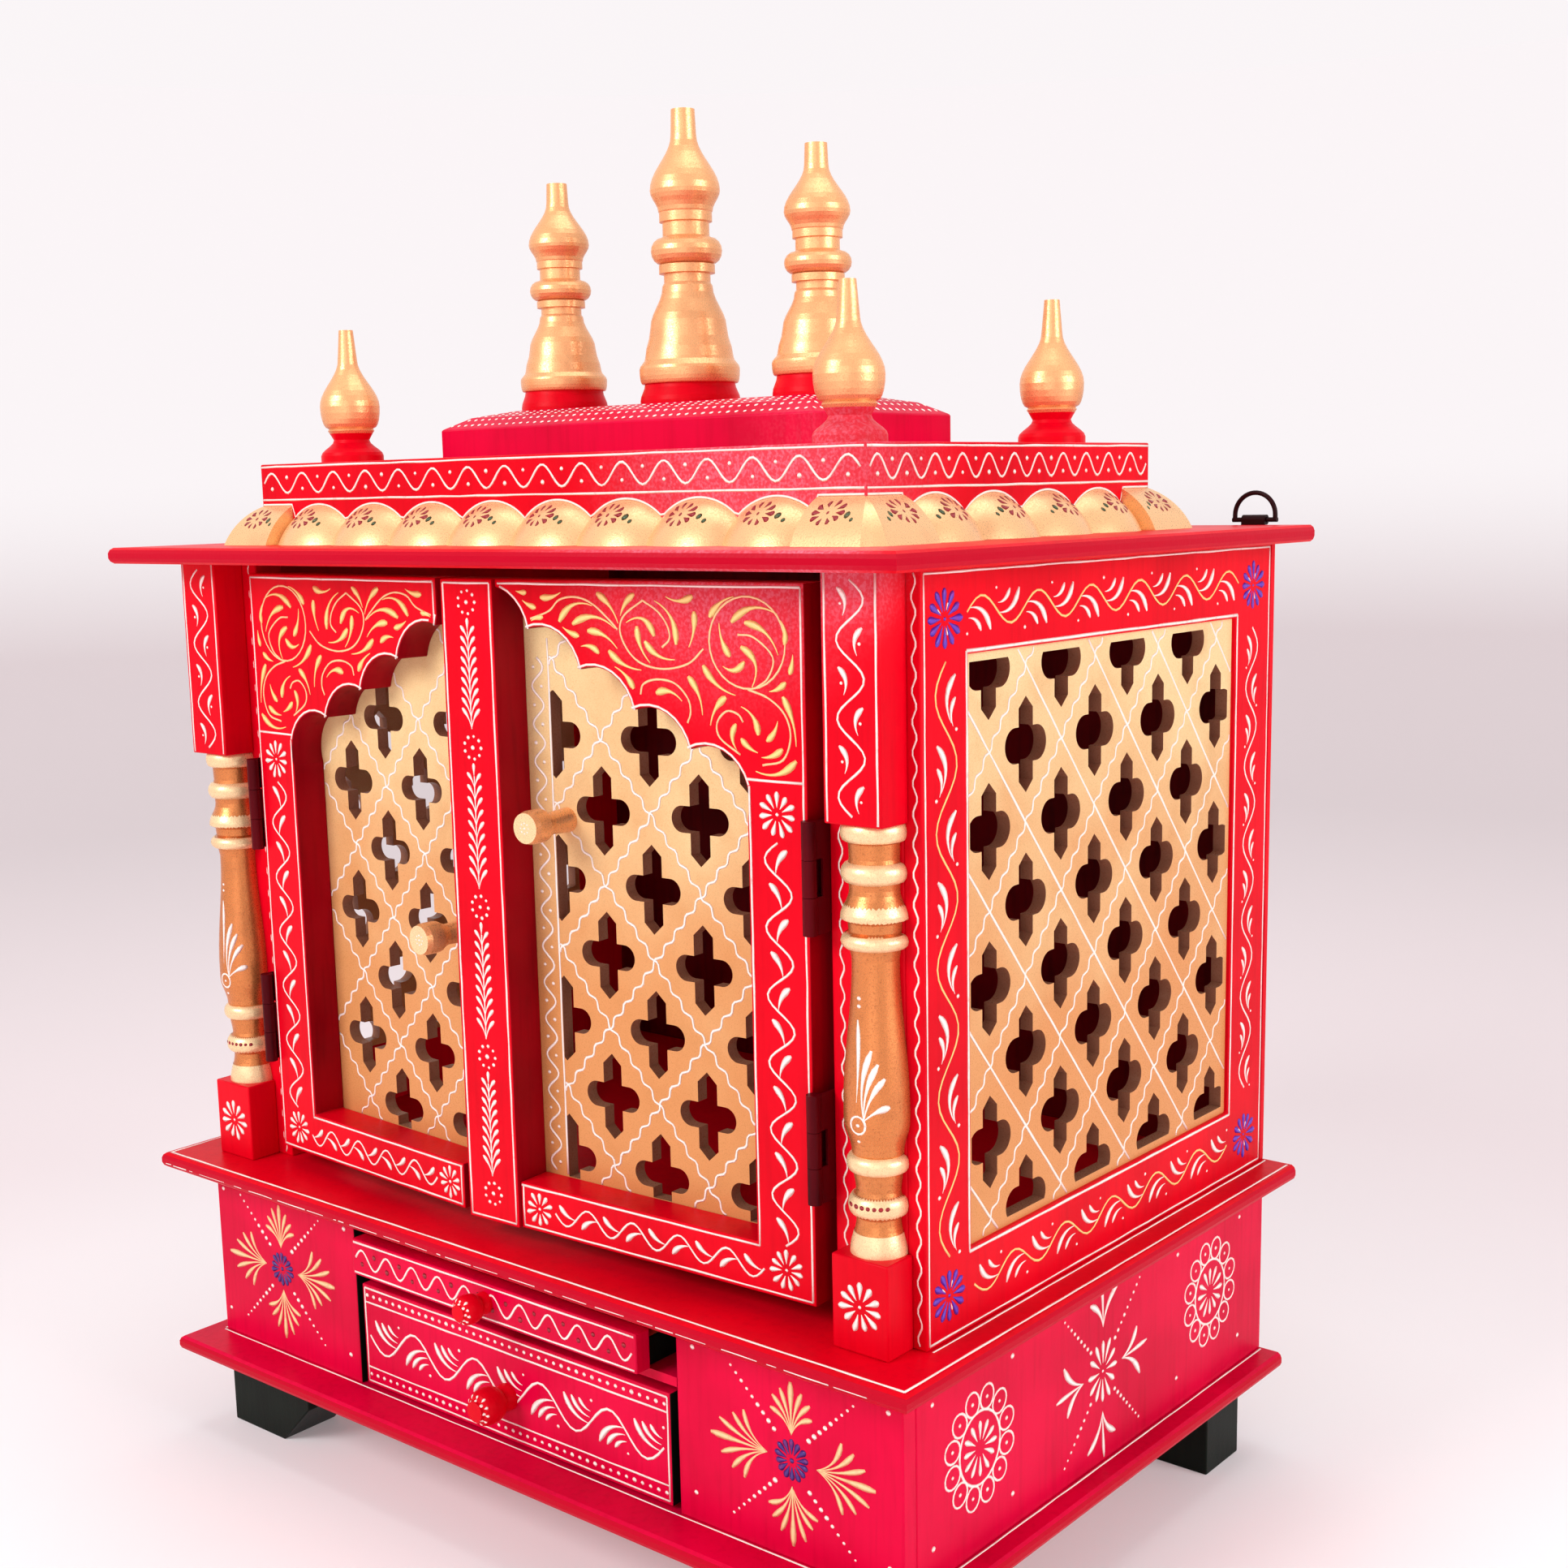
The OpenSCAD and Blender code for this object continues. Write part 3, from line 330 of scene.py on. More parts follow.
class Finishes:
    """All materials of the temple, made once."""

    def __init__(self, paints):
        self.paints = paints
        self.coat = brushed_coat_group()
        self.glint = glint_group()
        self.flake = flake_group()
        self.fretted = fretted_group()
        self.thin = thin_paint_group()
        # Painted highlights: where light glints on the enamel as a pale speckle, and how far round each place
        glint_spots = ((0.155, -0.16, 0.57), 0.13), ((0.236, -0.18, 0.53), 0.045)
        cut_board = paints.lattice, paints.lattice_foot, paints.cut_wall
        along_y, along_x = (0.0, 1.0, 0.0), (1.0, 0.0, 0.0)
        self.made = {
            "red_enamel": self.enamel("Red enamel", paints.red, paints.red_shade, glint_spots),
            "crimson_enamel": self.enamel("Crimson enamel", paints.crimson, paints.crimson_shade, glint_spots[:1]),
            "plate_red_edge_shade": self.enamel("Plate red with edge shade", paints.red, paints.red_shade, glint_spots, paints.plate_edge_shade),
            "plate_crimson_edge_shade": self.enamel(
                "Plate crimson with edge shade", paints.crimson, paints.crimson_shade, edge=paints.plate_edge_shade),
            "gold_paint": self.gold("Turned gold", paints.gold, paints.gold_deep, 0.6, 0.25),
            "knob_gold": self.fretwork("Knob gold", along_y, (paints.bead, paints.bead, paints.gold), 0.5),
            "column_gold": self.gold("Column gold", paints.copper, paints.copper_deep, 0.75, 0.55),
            "bead_gold": self.gold("Bead gold", paints.bead, paints.copper_deep, 0.45, 0.3),
            "cornice_gold": self.gold("Cornice gold", paints.cornice, paints.gold_deep, 0.55, 0.15),
            "door_lattice": self.fretwork("Door lattice", along_y, cut_board, 0.1),
            "side_lattice": self.fretwork("Side lattice", along_x, cut_board, 0.1),
            "plain_wood": self.bare_wood(),
            "pale": self.ornament("Pale line", paints.white, paints.lattice),
        }
        for key, name, colour, shade in (
                # Foot paint also serves as painted shade in the gaps beside the drawer and the tray
                ("foot_black", "Foot paint and gap shade", paints.foot, (0.003, 0.004, 0.003)),
                # Inner red: red paint darkened as painted shade
                ("inner_red", "Inner red and shade", paints.inner_red, (0.06, 0.0, 0.002)),
                ("edge_red", "Jamb shade red", paints.edge_red, (0.16, 0.0, 0.004)),
                ("iron", "Iron", paints.iron, (0.008, 0.002, 0.003)),
                ("hinge_paint", "Hinge paint", paints.hinge, (0.02, 0.0, 0.002))):
            self.made[key] = self.enamel(name, colour, shade)
        for ground, keys in (("red", "white ruby"), ("gold", "cream green"), ("crimson", "peach violet indigo")):
            for key in keys.split():
                self.made[key] = self.ornament(key.title() + " paint", getattr(paints, key), getattr(paints, ground))

    def start(self, name):
        material = bpy.data.materials.new(name)
        material.use_nodes = True
        shader = material.node_tree.nodes["Principled BSDF"]
        return material, Recipe(material.node_tree), shader

    def use(self, recipe, group, **values):
        return recipe.add("ShaderNodeGroup", {"node_tree": group}, **values).outputs

    def relief(self, recipe, shader, height, distance, strength):
        bump = recipe.add("ShaderNodeBump", Height=height, Distance=distance, Strength=strength)
        recipe.put(shader, "Normal", bump.outputs[0])

    def enamel(self, name, colour, shade, glint_spots=(), edge=None):
        """Gloss paint, with a painted highlight of pale speckle round the glinting places and, where an edge tone is
        given, painted shade on upright faces.
        """
        material, r, shader = self.start(name)
        coat = self.use(r, self.coat, Colour=colour, Shade=shade, Gloss=0.26)
        tone = coat["Colour"]
        # Painted highlight: pale speckle round each place where light glints
        for centre, reach in glint_spots:
            tone = self.use(r, self.glint, Colour=tone, Bloom=self.paints.glint, Centre=centre, Reach=reach)["Colour"]
        # Painted shade: upright faces take the darker edge tone
        if edge is not None:
            level = r.sums("ABSOLUTE", r.height(r.place("Normal")), 0.0)
            tone = r.mix(r.span(level, 0.3, 0.8), edge, tone)
        r.fill(shader, Base_Color=tone, Roughness=coat["Roughness"], Specular_IOR_Level=0.07)
        self.relief(r, shader, coat["Height"], 0.4 * MM, 0.25)
        return material

    def metallic(self, recipe, shader, flakes):
        recipe.fill(shader, Base_Color=flakes["Colour"], Roughness=flakes["Roughness"], Metallic=flakes["Metallic"])
        self.relief(recipe, shader, flakes["Height"], 0.25 * MM, 0.3)

    def gold(self, name, colour, deep, metal, specks):
        material, r, shader = self.start(name)
        self.metallic(r, shader, self.use(r, self.flake, Colour=colour, Deep=deep, Metal=metal, Specks=specks))
        return material

    def fretwork(self, name, axis, tones, metal):
        material, r, shader = self.start(name)
        top, foot, wall = tones
        board = self.use(r, self.fretted, Top=top, Foot=foot, Wall=wall, Axis=axis)
        flakes = self.use(
            r, self.flake, Colour=board["Colour"], Deep=self.paints.lattice_deep, Metal=metal, Specks=0.3)
        self.metallic(r, shader, flakes)
        tone = r.mix(board["Face"], board["Colour"], flakes["Colour"])
        r.fill(shader, Base_Color=tone, Specular_IOR_Level=0.15)
        return material

    def bare_wood(self):
        material, r, shader = self.start("Bare wood")
        coords = r.place()
        rings = r.noise(r.stretched(coords, (3.0, 60.0, 60.0)), 2.2, 5.0)
        pores = r.noise(r.stretched(coords, (40.0, 900.0, 900.0)), 1.0)
        pale = tuple(self.paints.wood)
        dark = tuple(c * 0.66 for c in pale)
        darkest = tuple(c * 0.4 for c in pale)
        tone = r.mix(r.span(rings, 0.35, 0.68), pale, dark)
        r.fill(shader, Base_Color=r.mix(r.span(pores, 0.55, 0.8, 0.0, 0.4), tone, darkest),
               Roughness=r.span(rings, 0.2, 0.8, 0.55, 0.75))
        self.relief(r, shader, pores, 0.2 * MM, 0.4)
        return material

    def ornament(self, name, colour, ground):
        material, r, shader = self.start(name)
        thin = self.use(r, self.thin, Colour=colour, Ground=ground)
        r.fill(shader, Base_Color=thin["Colour"], Roughness=thin["Roughness"])
        return material


finishes = None


def dress(piece, *names):
    """Puts finishes on a piece in the order of its material slots."""
    if piece.data.materials:
        piece.data.materials.clear()
    for name in names:
        piece.data.materials.append(finishes.made[name])


def mesh_of(node):
    """A bmesh of a CAD node's surface."""
    bm = bmesh.new()
    bm.from_mesh(frame["nodes"][node].data)
    bm.transform(frame["nodes"][node].matrix_world)
    return bm


def placed(name, bm, smooth=False):
    """Turns a bmesh into an object at the origin."""
    for face in bm.faces if smooth else ():
        face.smooth = True
    mesh = bpy.data.meshes.new(name)
    bm.to_mesh(mesh)
    bm.free()
    made = bpy.data.objects.new(name, mesh)
    bpy.context.scene.collection.objects.link(made)
    return made


def add_piece(name, bm, body, finish, smooth=False):
    """Turns a bmesh into a piece that rides on a body."""
    piece = placed(name, bm, smooth)
    dress(piece, *([finish] if isinstance(finish, str) else finish))
    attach(piece, body)
    return piece


# Brush strokes: (paint, [(u, v, half width), ...]) in millimetres on a face


def turned(point, degrees):
    a = math.radians(degrees)
    return Vector((point[0] * math.cos(a) - point[1] * math.sin(a), point[0] * math.sin(a) + point[1] * math.cos(a)))


def toward(degrees, far=1.0):
    return turned((far, 0.0), degrees)


def heading(vector):
    return math.degrees(math.atan2(vector[1], vector[0]))


def line(start, end, wide=None, paint="white"):
    """A border line with the slight wobble of a hand."""
    wide = wide or bpy.context.scene.temple_sizes.line / MM
    start, end = Vector(start), Vector(end)
    count = max(1, round((end - start).length / 14.0))
    across = (end - start).orthogonal().normalized()
    points = []
    for i in range(count + 1):
        p = start.lerp(end, i / count) + across * hand.uniform(-0.14, 0.14)
        points.append((p.x, p.y, wide / 2 * hand.uniform(0.8, 1.15)))
    return [(paint, points)]


def outline(x0, x1, y0, y1, **how):
    corners = [(x0, y0), (x1, y0), (x1, y1), (x0, y1), (x0, y0)]
    return [s for a, b in zip(corners, corners[1:]) for s in line(a, b, **how)]


def wave(start, end, waves, height, wide=1.1, paint="white", phase=0.0, steps=13):
    """A running wave from start to end."""
    start, end = Vector(start), Vector(end)
    across = Vector((start.y - end.y, end.x - start.x)).normalized()
    count = max(4, round(abs(waves) * steps))
    points = []
    for i in range(count + 1):
        t = i / count
        p = start.lerp(end, t) + across * height * math.sin(2 * math.pi * (waves * t + phase))
        points.append((p.x, p.y, wide / 2 * hand.uniform(0.85, 1.15)))
    return [(paint, points)]


def hollow_dots(start, end, count, off, size, paint="white"):
    """Dots in the hollows of a wave from start to end, by turns on its right and on its left."""
    start, end = Vector(start), Vector(end)
    across = Vector((start.y - end.y, end.x - start.x)).normalized()
    strokes = []
    for k in range(count):
        strokes += dot(start.lerp(end, (k + 0.5) / count) + across * (off if k % 2 else -off), size, paint)
    return strokes


# Shares of a stroke's half width, from its head to its tail
LEAF = (0.35, 0.8, 1.0, 0.93, 0.8, 0.65, 0.5, 0.35, 0.22, 0.1)
DROP = (0.45, 0.92, 1.0, 0.82, 0.56, 0.4, 0.31, 0.25, 0.2, 0.14)


def comma(head, tail, fat, bend=0.0, paint="white", profile=LEAF):
    """A comma stroke from a round head to a thin tail; a positive bend bulges to the left of its way."""
    head, tail = Vector(head), Vector(tail)
    chord = tail - head
    bulge = Vector((-chord.y, chord.x)) * 2.0 * math.tan(math.radians(bend) / 4)
    points = []
    for i, share in enumerate(profile):
        t = i / (len(profile) - 1)
        p = head + chord * t + bulge * t * (1.0 - t)
        points.append((p.x, p.y, max(fat * share, 0.14)))
    return [(paint, points)]


def dot(at, size, paint="white"):
    size *= hand.uniform(0.85, 1.15)
    return [(paint, [(at[0] + size * k, at[1], size * math.sqrt(1.02 - k * k)) for k in (-1.0, -0.7, 0.0, 0.7, 1.0)])]


def daisy(at, reach, petals=10, fat=None, paint="white", tall=1.0, inner=0.3, heart=0.9, turn=90.0):
    """Petals like drops round a heart."""
    fat = fat or reach * 0.13
    strokes = []
    for k in range(petals):
        out = toward(turn + 360.0 * k / petals, reach * hand.uniform(0.92, 1.05))
        out.y *= tall
        strokes += comma(Vector(at) + out, Vector(at) + out * inner, fat, hand.uniform(-14.0, 14.0), paint)
    if heart:
        strokes += dot(at, heart, paint)
    return strokes


def ring_flower(at, reach, count=9, size=0.8, heart=1.0):
    """A ring of dots, round one more dot where it has a heart."""
    strokes = dot(at, heart) if heart else []
    for k in range(count):
        strokes += dot(Vector(at) + toward(360.0 * k / count, reach), size)
    return strokes


def dotted(start, end, count, first, last, paint="white"):
    start, end = Vector(start), Vector(end)
    steps = [i / (count - 1) for i in range(count)]
    return [s for t in steps for s in dot(start.lerp(end, t), first + (last - first) * t, paint)]


def fern(foot, tip, pairs, long, fat=1.0):
    """A stem with paired strokes that leave it and lean out to both sides."""
    foot, tip = Vector(foot), Vector(tip)
    way = heading(tip - foot)
    strokes = line(foot, tip, 0.9)
    for k in range(pairs):
        root = foot.lerp(tip, k / pairs)
        reach = long * (1.0 - 0.25 * k / pairs)
        for side in (-1, 1):
            strokes += comma(root + toward(way + side * 31.0, reach), root, fat, side * 40.0, profile=DROP)
    return strokes + comma(tip + toward(way, long * 0.55), tip, fat)


def vine(start, end, waves, height, leaves=1, fat=1.5, deep=0.8, rise=0.2, bend=55.0, stem="white", phase=0.0,
         wide=1.2, seeds=True):
    """A wave with comma strokes nested in each of its hollows, their heads towards its start, and a dot behind them."""
    start, end = Vector(start), Vector(end)
    along = (end - start).normalized()
    across = Vector((-along.y, along.x))
    strokes = wave(start, end, waves, height, wide, stem, phase)
    halves = round(waves * 2)
    pitch = (end - start).length / halves
    for k in range(halves):
        side = -1.0 if (k + round(phase * 2)) % 2 else 1.0
        middle = start + along * pitch * (k + 0.5)

        def at(x, y):
            return middle + along * pitch * x + across * side * height * y
        for n in range(leaves):
            less = n / leaves
            head = at(-0.3 + 0.66 * less, -deep)
            tail = at(0.4 + 0.1 * less, rise - (rise + deep) * 0.85 * less)
            strokes += comma(head, tail, fat * (1.0 - 0.45 * less), side * bend * (1.0 - 0.3 * less))
        if seeds:
            strokes += dot(at(0.1, -deep * 0.75) if leaves == 1 else at(0.5, -deep * 1.08), fat * 0.5)
    return strokes


def fan(root, way, long, rays=7, spread=100.0, fat=1.45, paint="peach"):
    """A palmette: strokes with round heads that leave one root and curl out, the middle one longest and fullest."""
    strokes = []
    for k in range(rays):
        lean = (k / (rays - 1) - 0.5) * 2
        reach = long * (1.0 - 0.36 * abs(lean)) * hand.uniform(0.95, 1.04)
        tip = Vector(root) + toward(way + lean * spread / 2, reach)
        strokes += comma(tip, root, fat * (1.3 if abs(lean) < 0.05 else 1.0), lean * 62.0, paint, DROP)
    return strokes


def loop(at, wide, tall, lean=0.0, line_width=0.9, paint="white", steps=16):
    """An oval outline."""
    points = []
    for i in range(steps + 1):
        a = 2 * math.pi * i / steps
        p = Vector(at) + turned((wide * math.cos(a), tall * math.sin(a)), lean)
        points.append((p.x, p.y, line_width / 2 * hand.uniform(0.85, 1.15)))
    return [(paint, points)]


def flow(stops, wide=1.1, paint="peach", steps=5):
    """A thin line that flows through its stops."""
    stops = [Vector(p) for p in stops]
    ends = [2 * stops[0] - stops[1]] + stops + [2 * stops[-1] - stops[-2]]
    path = []
    for a, b, c, d in zip(ends, ends[1:], ends[2:], ends[3:]):
        for k in range(steps):
            s = k / steps
            path.append(b + (c - a) * s / 2 + (2 * a - 5 * b + 4 * c - d) * s ** 2 / 2
                        + (3 * b - a - 3 * c + d) * s ** 3 / 2)
    return [(paint, [(p.x, p.y, wide / 2 * hand.uniform(0.85, 1.15)) for p in path + stops[-1:]])]


def mirrored(strokes):
    return [(paint, [(-u, v, r) for u, v, r in points]) for paint, points in strokes]


def face_middle(low, high):
    """Middle of a front, from the corners of its box."""
    return (low.x + high.x) / 2, (low.z + high.z) / 2


# Where a stroke's point (u, v) at height w above a face lies


def on_front(y):
    return lambda u, v, w: Vector((u, y - w, v)) * MM


def on_side(x, out=1.0):
    return lambda u, v, w: Vector((x + out * w, u, v)) * MM


def on_top(z):
    return lambda u, v, w: Vector((u, v, z + w)) * MM


def swung(place, pin, angle):
    """The same place, turned about an upright pin."""
    swing = Matrix.Translation(pin) @ Matrix.Rotation(angle, 4, "Z") @ Matrix.Translation(-pin)
    return lambda u, v, w: swing @ place(u, v, w)


def on_door(place, body):
    """The same place, turned ajar with its door about the hinge."""
    return swung(place, Vector(HINGE[body]["pos_m"]), AJAR[body])


def draped(node, place, far=0.2):
    """Drops points from a flat place straight down onto a node's surface."""
    bm = mesh_of(node)
    tree = BVHTree.FromBMesh(bm)
    bm.free()
    inward = (place(0.0, 0.0, 0.0) - place(0.0, 0.0, 1.0)).normalized()

    def drop(u, v, w):
        start = place(u, v, 0.0)
        hit, normal, _, _ = tree.ray_cast(start - inward * far, inward)
        if hit is None:
            raise RuntimeError(f"a stroke misses {node} at {u:.1f}, {v:.1f}")
        return hit + normal * w * MM
    return drop


def held(point, y):
    """The same point, no further to the front than y."""
    return Vector((point.x, max(point.y, y), point.z))


def brushwork(name, strokes, place, body="cabinet"):
    """Makes strokes of paint with a low round relief on a face."""
    relief = bpy.context.scene.temple_sizes.relief
    paints = sorted({paint for paint, _ in strokes})
    curve = bpy.data.curves.new(name, "CURVE")
    curve.dimensions = "3D"
    curve.twist_mode = "Z_UP"
    curve.bevel_depth = 1.0
    curve.bevel_resolution = 0
    curve.use_fill_caps = True
    for paint in paints:
        curve.materials.append(finishes.made[paint])
    for paint, points in strokes:
        spline = curve.splines.new("POLY")
        spline.points.add(len(points) - 1)
        spline.points.foreach_set("co", [c for u, v, _ in points for c in (u, v, 0.0, 1.0)])
        spline.points.foreach_set("radius", [r for _, _, r in points])
        spline.material_index = paints.index(paint)
    holder = bpy.data.objects.new(name, curve)
    bpy.context.scene.collection.objects.link(holder)
    rough = bpy.data.meshes.new_from_object(holder.evaluated_get(bpy.context.evaluated_depsgraph_get()))
    bpy.data.objects.remove(holder)
    bpy.data.curves.remove(curve)
    bm = bmesh.new()
    bm.from_mesh(rough)
    bpy.data.meshes.remove(rough)
    bmesh.ops.remove_doubles(bm, verts=bm.verts, dist=1e-5)
    for vert in bm.verts:
        vert.co = place(vert.co.x, vert.co.y, vert.co.z * relief)
    bmesh.ops.recalc_face_normals(bm, faces=bm.faces)
    return add_piece(name, bm, body, paints, smooth=True)


# Pieces


class CabinetOperator:
    """A step of the build."""
    bl_options = {"REGISTER", "UNDO"}

    def execute(self, context):
        self.build()
        return {"FINISHED"}


FINISH_OF = {
    "column_left": "column_gold", "column_right": "column_gold", "cornice": "cornice_gold",
    "left_door_lattice": "door_lattice", "right_door_lattice": "door_lattice",
    "side_lattice_left": "side_lattice", "side_lattice_right": "side_lattice",
    "hinge_leaves": "hinge_paint", "left_door_leaves": "hinge_paint", "right_door_leaves": "hinge_paint",
    # The three plates carry painted shade on their upright edges
    "top_plate": "plate_red_edge_shade", "mid_plate": "plate_red_edge_shade", "base_plate": "plate_crimson_edge_shade", "tier_box": "red_enamel",
    "left_door_knob": "knob_gold", "right_door_knob": "knob_gold"}


class TEMPLE_OT_finishes(CabinetOperator, bpy.types.Operator):
    """Mix the paints and lay them on the turned and plain parts"""
    bl_idname = "temple.finishes"
    bl_label = "Finishes"

    def build(self):
        global finishes
        finishes = Finishes(bpy.context.scene.temple_paints)
        for name, node in frame["nodes"].items():
            dress(node, FINISH_OF.get(name, SLOT_OF[name]))


EASED = (
    "feet plinth_left plinth_right plinth_front_left plinth_front_right plinth_rail side_frame_left "
    "side_frame_right stile_left stile_right column_blocks tier_box tier_slab left_door_frame "
    "right_door_frame right_door_batten drawer_front drawer_box tray_front tray_box back_panel").split()


def by_drawers(face):
    """Ends of the fronts beside the drawer and the tray, which take black as painted shade in the gaps."""
    return abs(face.normal.x) > 0.5 and abs(face.calc_center_median().x) < 0.2


def outer_ends(face):
    """Outer sides of the tray's box, which take black as painted shade in the slot."""
    low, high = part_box("tray_box")
    return face.normal.x * (face.calc_center_median().x * 2 - low.x - high.x) > 0.01


def inside_back(face):
    # Inside face of the back: red paint darkened as painted shade
    return face.normal.y < -0.5


def shaded_door_edges(face):
    # Jambs and soffits of the door frames and sides of the batten, which take a darker red as painted shade
    return abs(face.normal.y) < 0.5 and face.normal.z < 0.5


# A second finish, and the faces that have it: black in the gaps and the darker red on the door frames' edges are
# painted shade, and the back's inside is red paint darkened as painted shade
SECOND_FINISH = {
    # Painted shade: black on the ends beside the drawer and the tray
    **dict.fromkeys(("drawer_front", "plinth_front_left", "plinth_front_right"), ("foot_black", by_drawers)),
    # Painted shade on the door frames' jambs and soffits and the batten's sides
    **dict.fromkeys(("left_door_frame", "right_door_frame", "right_door_batten"), ("edge_red", shaded_door_edges)),
    # Painted shade: black on the tray box's outer sides, and the red inside the back darkened
    "tray_box": ("foot_black", outer_ends), "back_panel": ("inner_red", inside_back)}


class TEMPLE_OT_boards(CabinetOperator, bpy.types.Operator):
    """Round the edges of the boards as sanding and paint do"""
    bl_idname = "temple.boards"
    bl_label = "Eased boards"

    def build(self):
        edge = bpy.context.scene.temple_sizes.edge
        flat, corner = math.radians(1.0), math.radians(26.0)
        for name in EASED:
            bm = mesh_of(name)
            bmesh.ops.remove_doubles(bm, verts=bm.verts, dist=MERGE)
            bmesh.ops.dissolve_limit(bm, angle_limit=flat, verts=bm.verts, edges=bm.edges)
            sharp = [e for e in bm.edges if len(e.link_faces) == 2 and e.calc_face_angle() > corner]
            made = bmesh.ops.bevel(
                bm, geom=sharp, offset=edge, offset_type="OFFSET", affect="EDGES", segments=2, profile=0.5,
                material=-1, clamp_overlap=True)
            for face in made["faces"]:
                face.smooth = True
            finish = [FINISH_OF.get(name, SLOT_OF[name])]
            if name in SECOND_FINISH:
                second, has_it = SECOND_FINISH[name]
                finish.append(second)
                for face in bm.faces:
                    face.material_index = int(has_it(face))
            board = add_piece(name + "_board", bm, frame["nodes"][name]["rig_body"], finish)
            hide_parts(name)


# Doors, as drawn when shut

DOOR_EDGE, DOOR_FOOT, DOOR_TOP = 201.0, 183.5, 518.5
OPENING, SILL, SPRING = 167.0, 208.5, 426.5
BATTEN = (-23.0, 13.0)
LEFT_END = -32.0
FRAME_FACE, LATTICE_FACE, BATTEN_FACE = -152.75, -132.75, -154.75
ARCH_RISE, FOILS, FOIL_RISE = 87.0, 5, 0.23


def cusp(i):
    return Vector((OPENING * i / FOILS, SPRING + ARCH_RISE * (1.0 - i / FOILS) ** 1.12))


def foil(i):
    """Centre and radius of the arch's foil between cusps i - 1 and i."""
    chord = cusp(i) - cusp(i - 1)
    rise = chord.length * FOIL_RISE
    radius = (chord.length ** 2 / 4 + rise ** 2) / (2 * rise)
    out = Vector((-chord.y, chord.x)).normalized()
    return (cusp(i) + cusp(i - 1)) / 2 + out * (rise - radius), radius


def arch_height(x):
    """Height of the arch at a distance from the middle of its span."""
    foils = [foil(i) for i in range(1, FOILS + 1)]
    return max(at.y + math.sqrt(reach ** 2 - (x - at.x) ** 2) for at, reach in foils if abs(x - at.x) < reach)


def arch_line(free_edge, gap=1.3):
    """The white line along the arch, from a door's free edge to the springing."""
    strokes = []
    for i in range(1, FOILS + 1):
        centre, radius = foil(i)
        first, last = heading(cusp(i - 1) - centre), heading(cusp(i) - centre)
        points = []
        for k in range(9):
            p = centre + toward(first + (last - first) * k / 8, radius + gap)
            if p.x > free_edge + 1.0 and p.x < OPENING + gap:
                points.append((p.x, p.y, 0.6))
        if len(points) > 1:
            strokes.append(("white", points))
    return strokes


# The scrolls over an arch, drawn as on the right-hand door: stops of the thin lines; heads, tails and bends of strokes

SCROLL_LINES = (
    ((108.5, 509.5), (97.0, 502.5), (94.0, 495.0), (98.5, 486.0), (107.0, 480.0), (120.5, 478.0), (135.0, 481.0),
     (144.0, 488.0)),
    ((108.5, 509.5), (117.5, 504.5), (123.0, 498.0), (124.0, 492.0), (119.5, 488.0)),
    ((36.5, 499.5), (49.0, 503.5), (56.0, 509.0), (66.5, 510.5), (77.0, 507.5), (87.5, 500.0), (92.5, 495.5)),
    ((105.5, 465.5), (107.5, 470.5), (116.0, 473.0), (126.5, 471.5), (134.0, 465.0), (135.5, 458.5), (133.5, 453.5)),
    ((169.0, 470.5), (180.5, 467.0), (189.5, 460.0), (192.5, 450.0), (188.0, 439.5), (176.5, 436.5)),
    ((166.0, 455.5), (163.0, 459.0), (156.5, 460.0), (151.0, 454.5), (152.5, 447.5), (164.0, 440.5)),
    ((164.0, 495.0), (173.0, 494.0), (183.5, 485.5), (180.5, 476.0), (173.0, 471.0)))
SCROLL_COMMAS = (
    ((160.5, 500.5), (186.5, 504.5), 80), ((168.0, 500.5), (186.5, 486.5), 70), ((190.0, 491.0), (188.0, 502.0), -60),
    ((159.5, 485.0), (153.5, 500.0), 45), ((165.5, 489.5), (171.5, 471.5), 120), ((167.5, 483.0), (155.0, 480.5), 100),
    ((192.5, 478.0), (194.5, 487.0), -25), ((148.0, 502.5), (162.0, 512.0), 50), ((190.5, 474.5), (181.0, 470.0), 40),
    ((115.0, 493.0), (98.0, 499.0), -120), ((104.5, 497.5), (112.0, 480.5), -50), ((109.0, 490.5), (127.0, 482.5), -60),
    ((128.0, 489.5), (115.5, 509.5), -80), ((139.0, 505.0), (135.5, 488.5), 40), ((138.5, 512.0), (122.5, 511.5), 60),
    ((103.5, 512.5), (94.5, 502.0), -45), ((80.0, 512.5), (93.0, 498.5), 45), ((45.0, 500.5), (37.0, 498.5), -30),
    ((55.5, 498.5), (77.0, 506.5), 85), ((64.0, 497.5), (91.0, 496.0), 75), ((73.5, 494.5), (92.0, 486.5), 55),
    ((68.0, 492.0), (57.5, 496.0), 30), ((80.5, 484.0), (69.0, 487.0), -60), ((86.5, 485.5), (106.5, 477.0), -45),
    ((101.5, 468.0), (90.0, 478.0), -40), ((34.5, 512.3), (27.5, 512.8), 20), ((43.5, 510.0), (57.0, 512.5), -35),
    ((40.5, 505.0), (31.5, 508.5), 30), ((115.0, 466.5), (130.5, 463.5), 75), ((134.5, 475.0), (142.5, 457.5), 50),
    ((143.5, 480.5), (162.0, 467.5), -50), ((156.5, 466.5), (147.0, 453.0), -50), ((188.5, 468.0), (195.5, 446.0), 35),
    ((174.5, 450.0), (165.0, 462.5), -75), ((179.0, 447.5), (185.5, 457.0), -50), ((162.0, 454.5), (162.0, 442.5), -90),
    ((164.5, 448.0), (174.0, 442.0), -35), ((188.0, 444.5), (176.0, 440.0), 45), ((195.5, 439.5), (172.5, 433.5), 70))


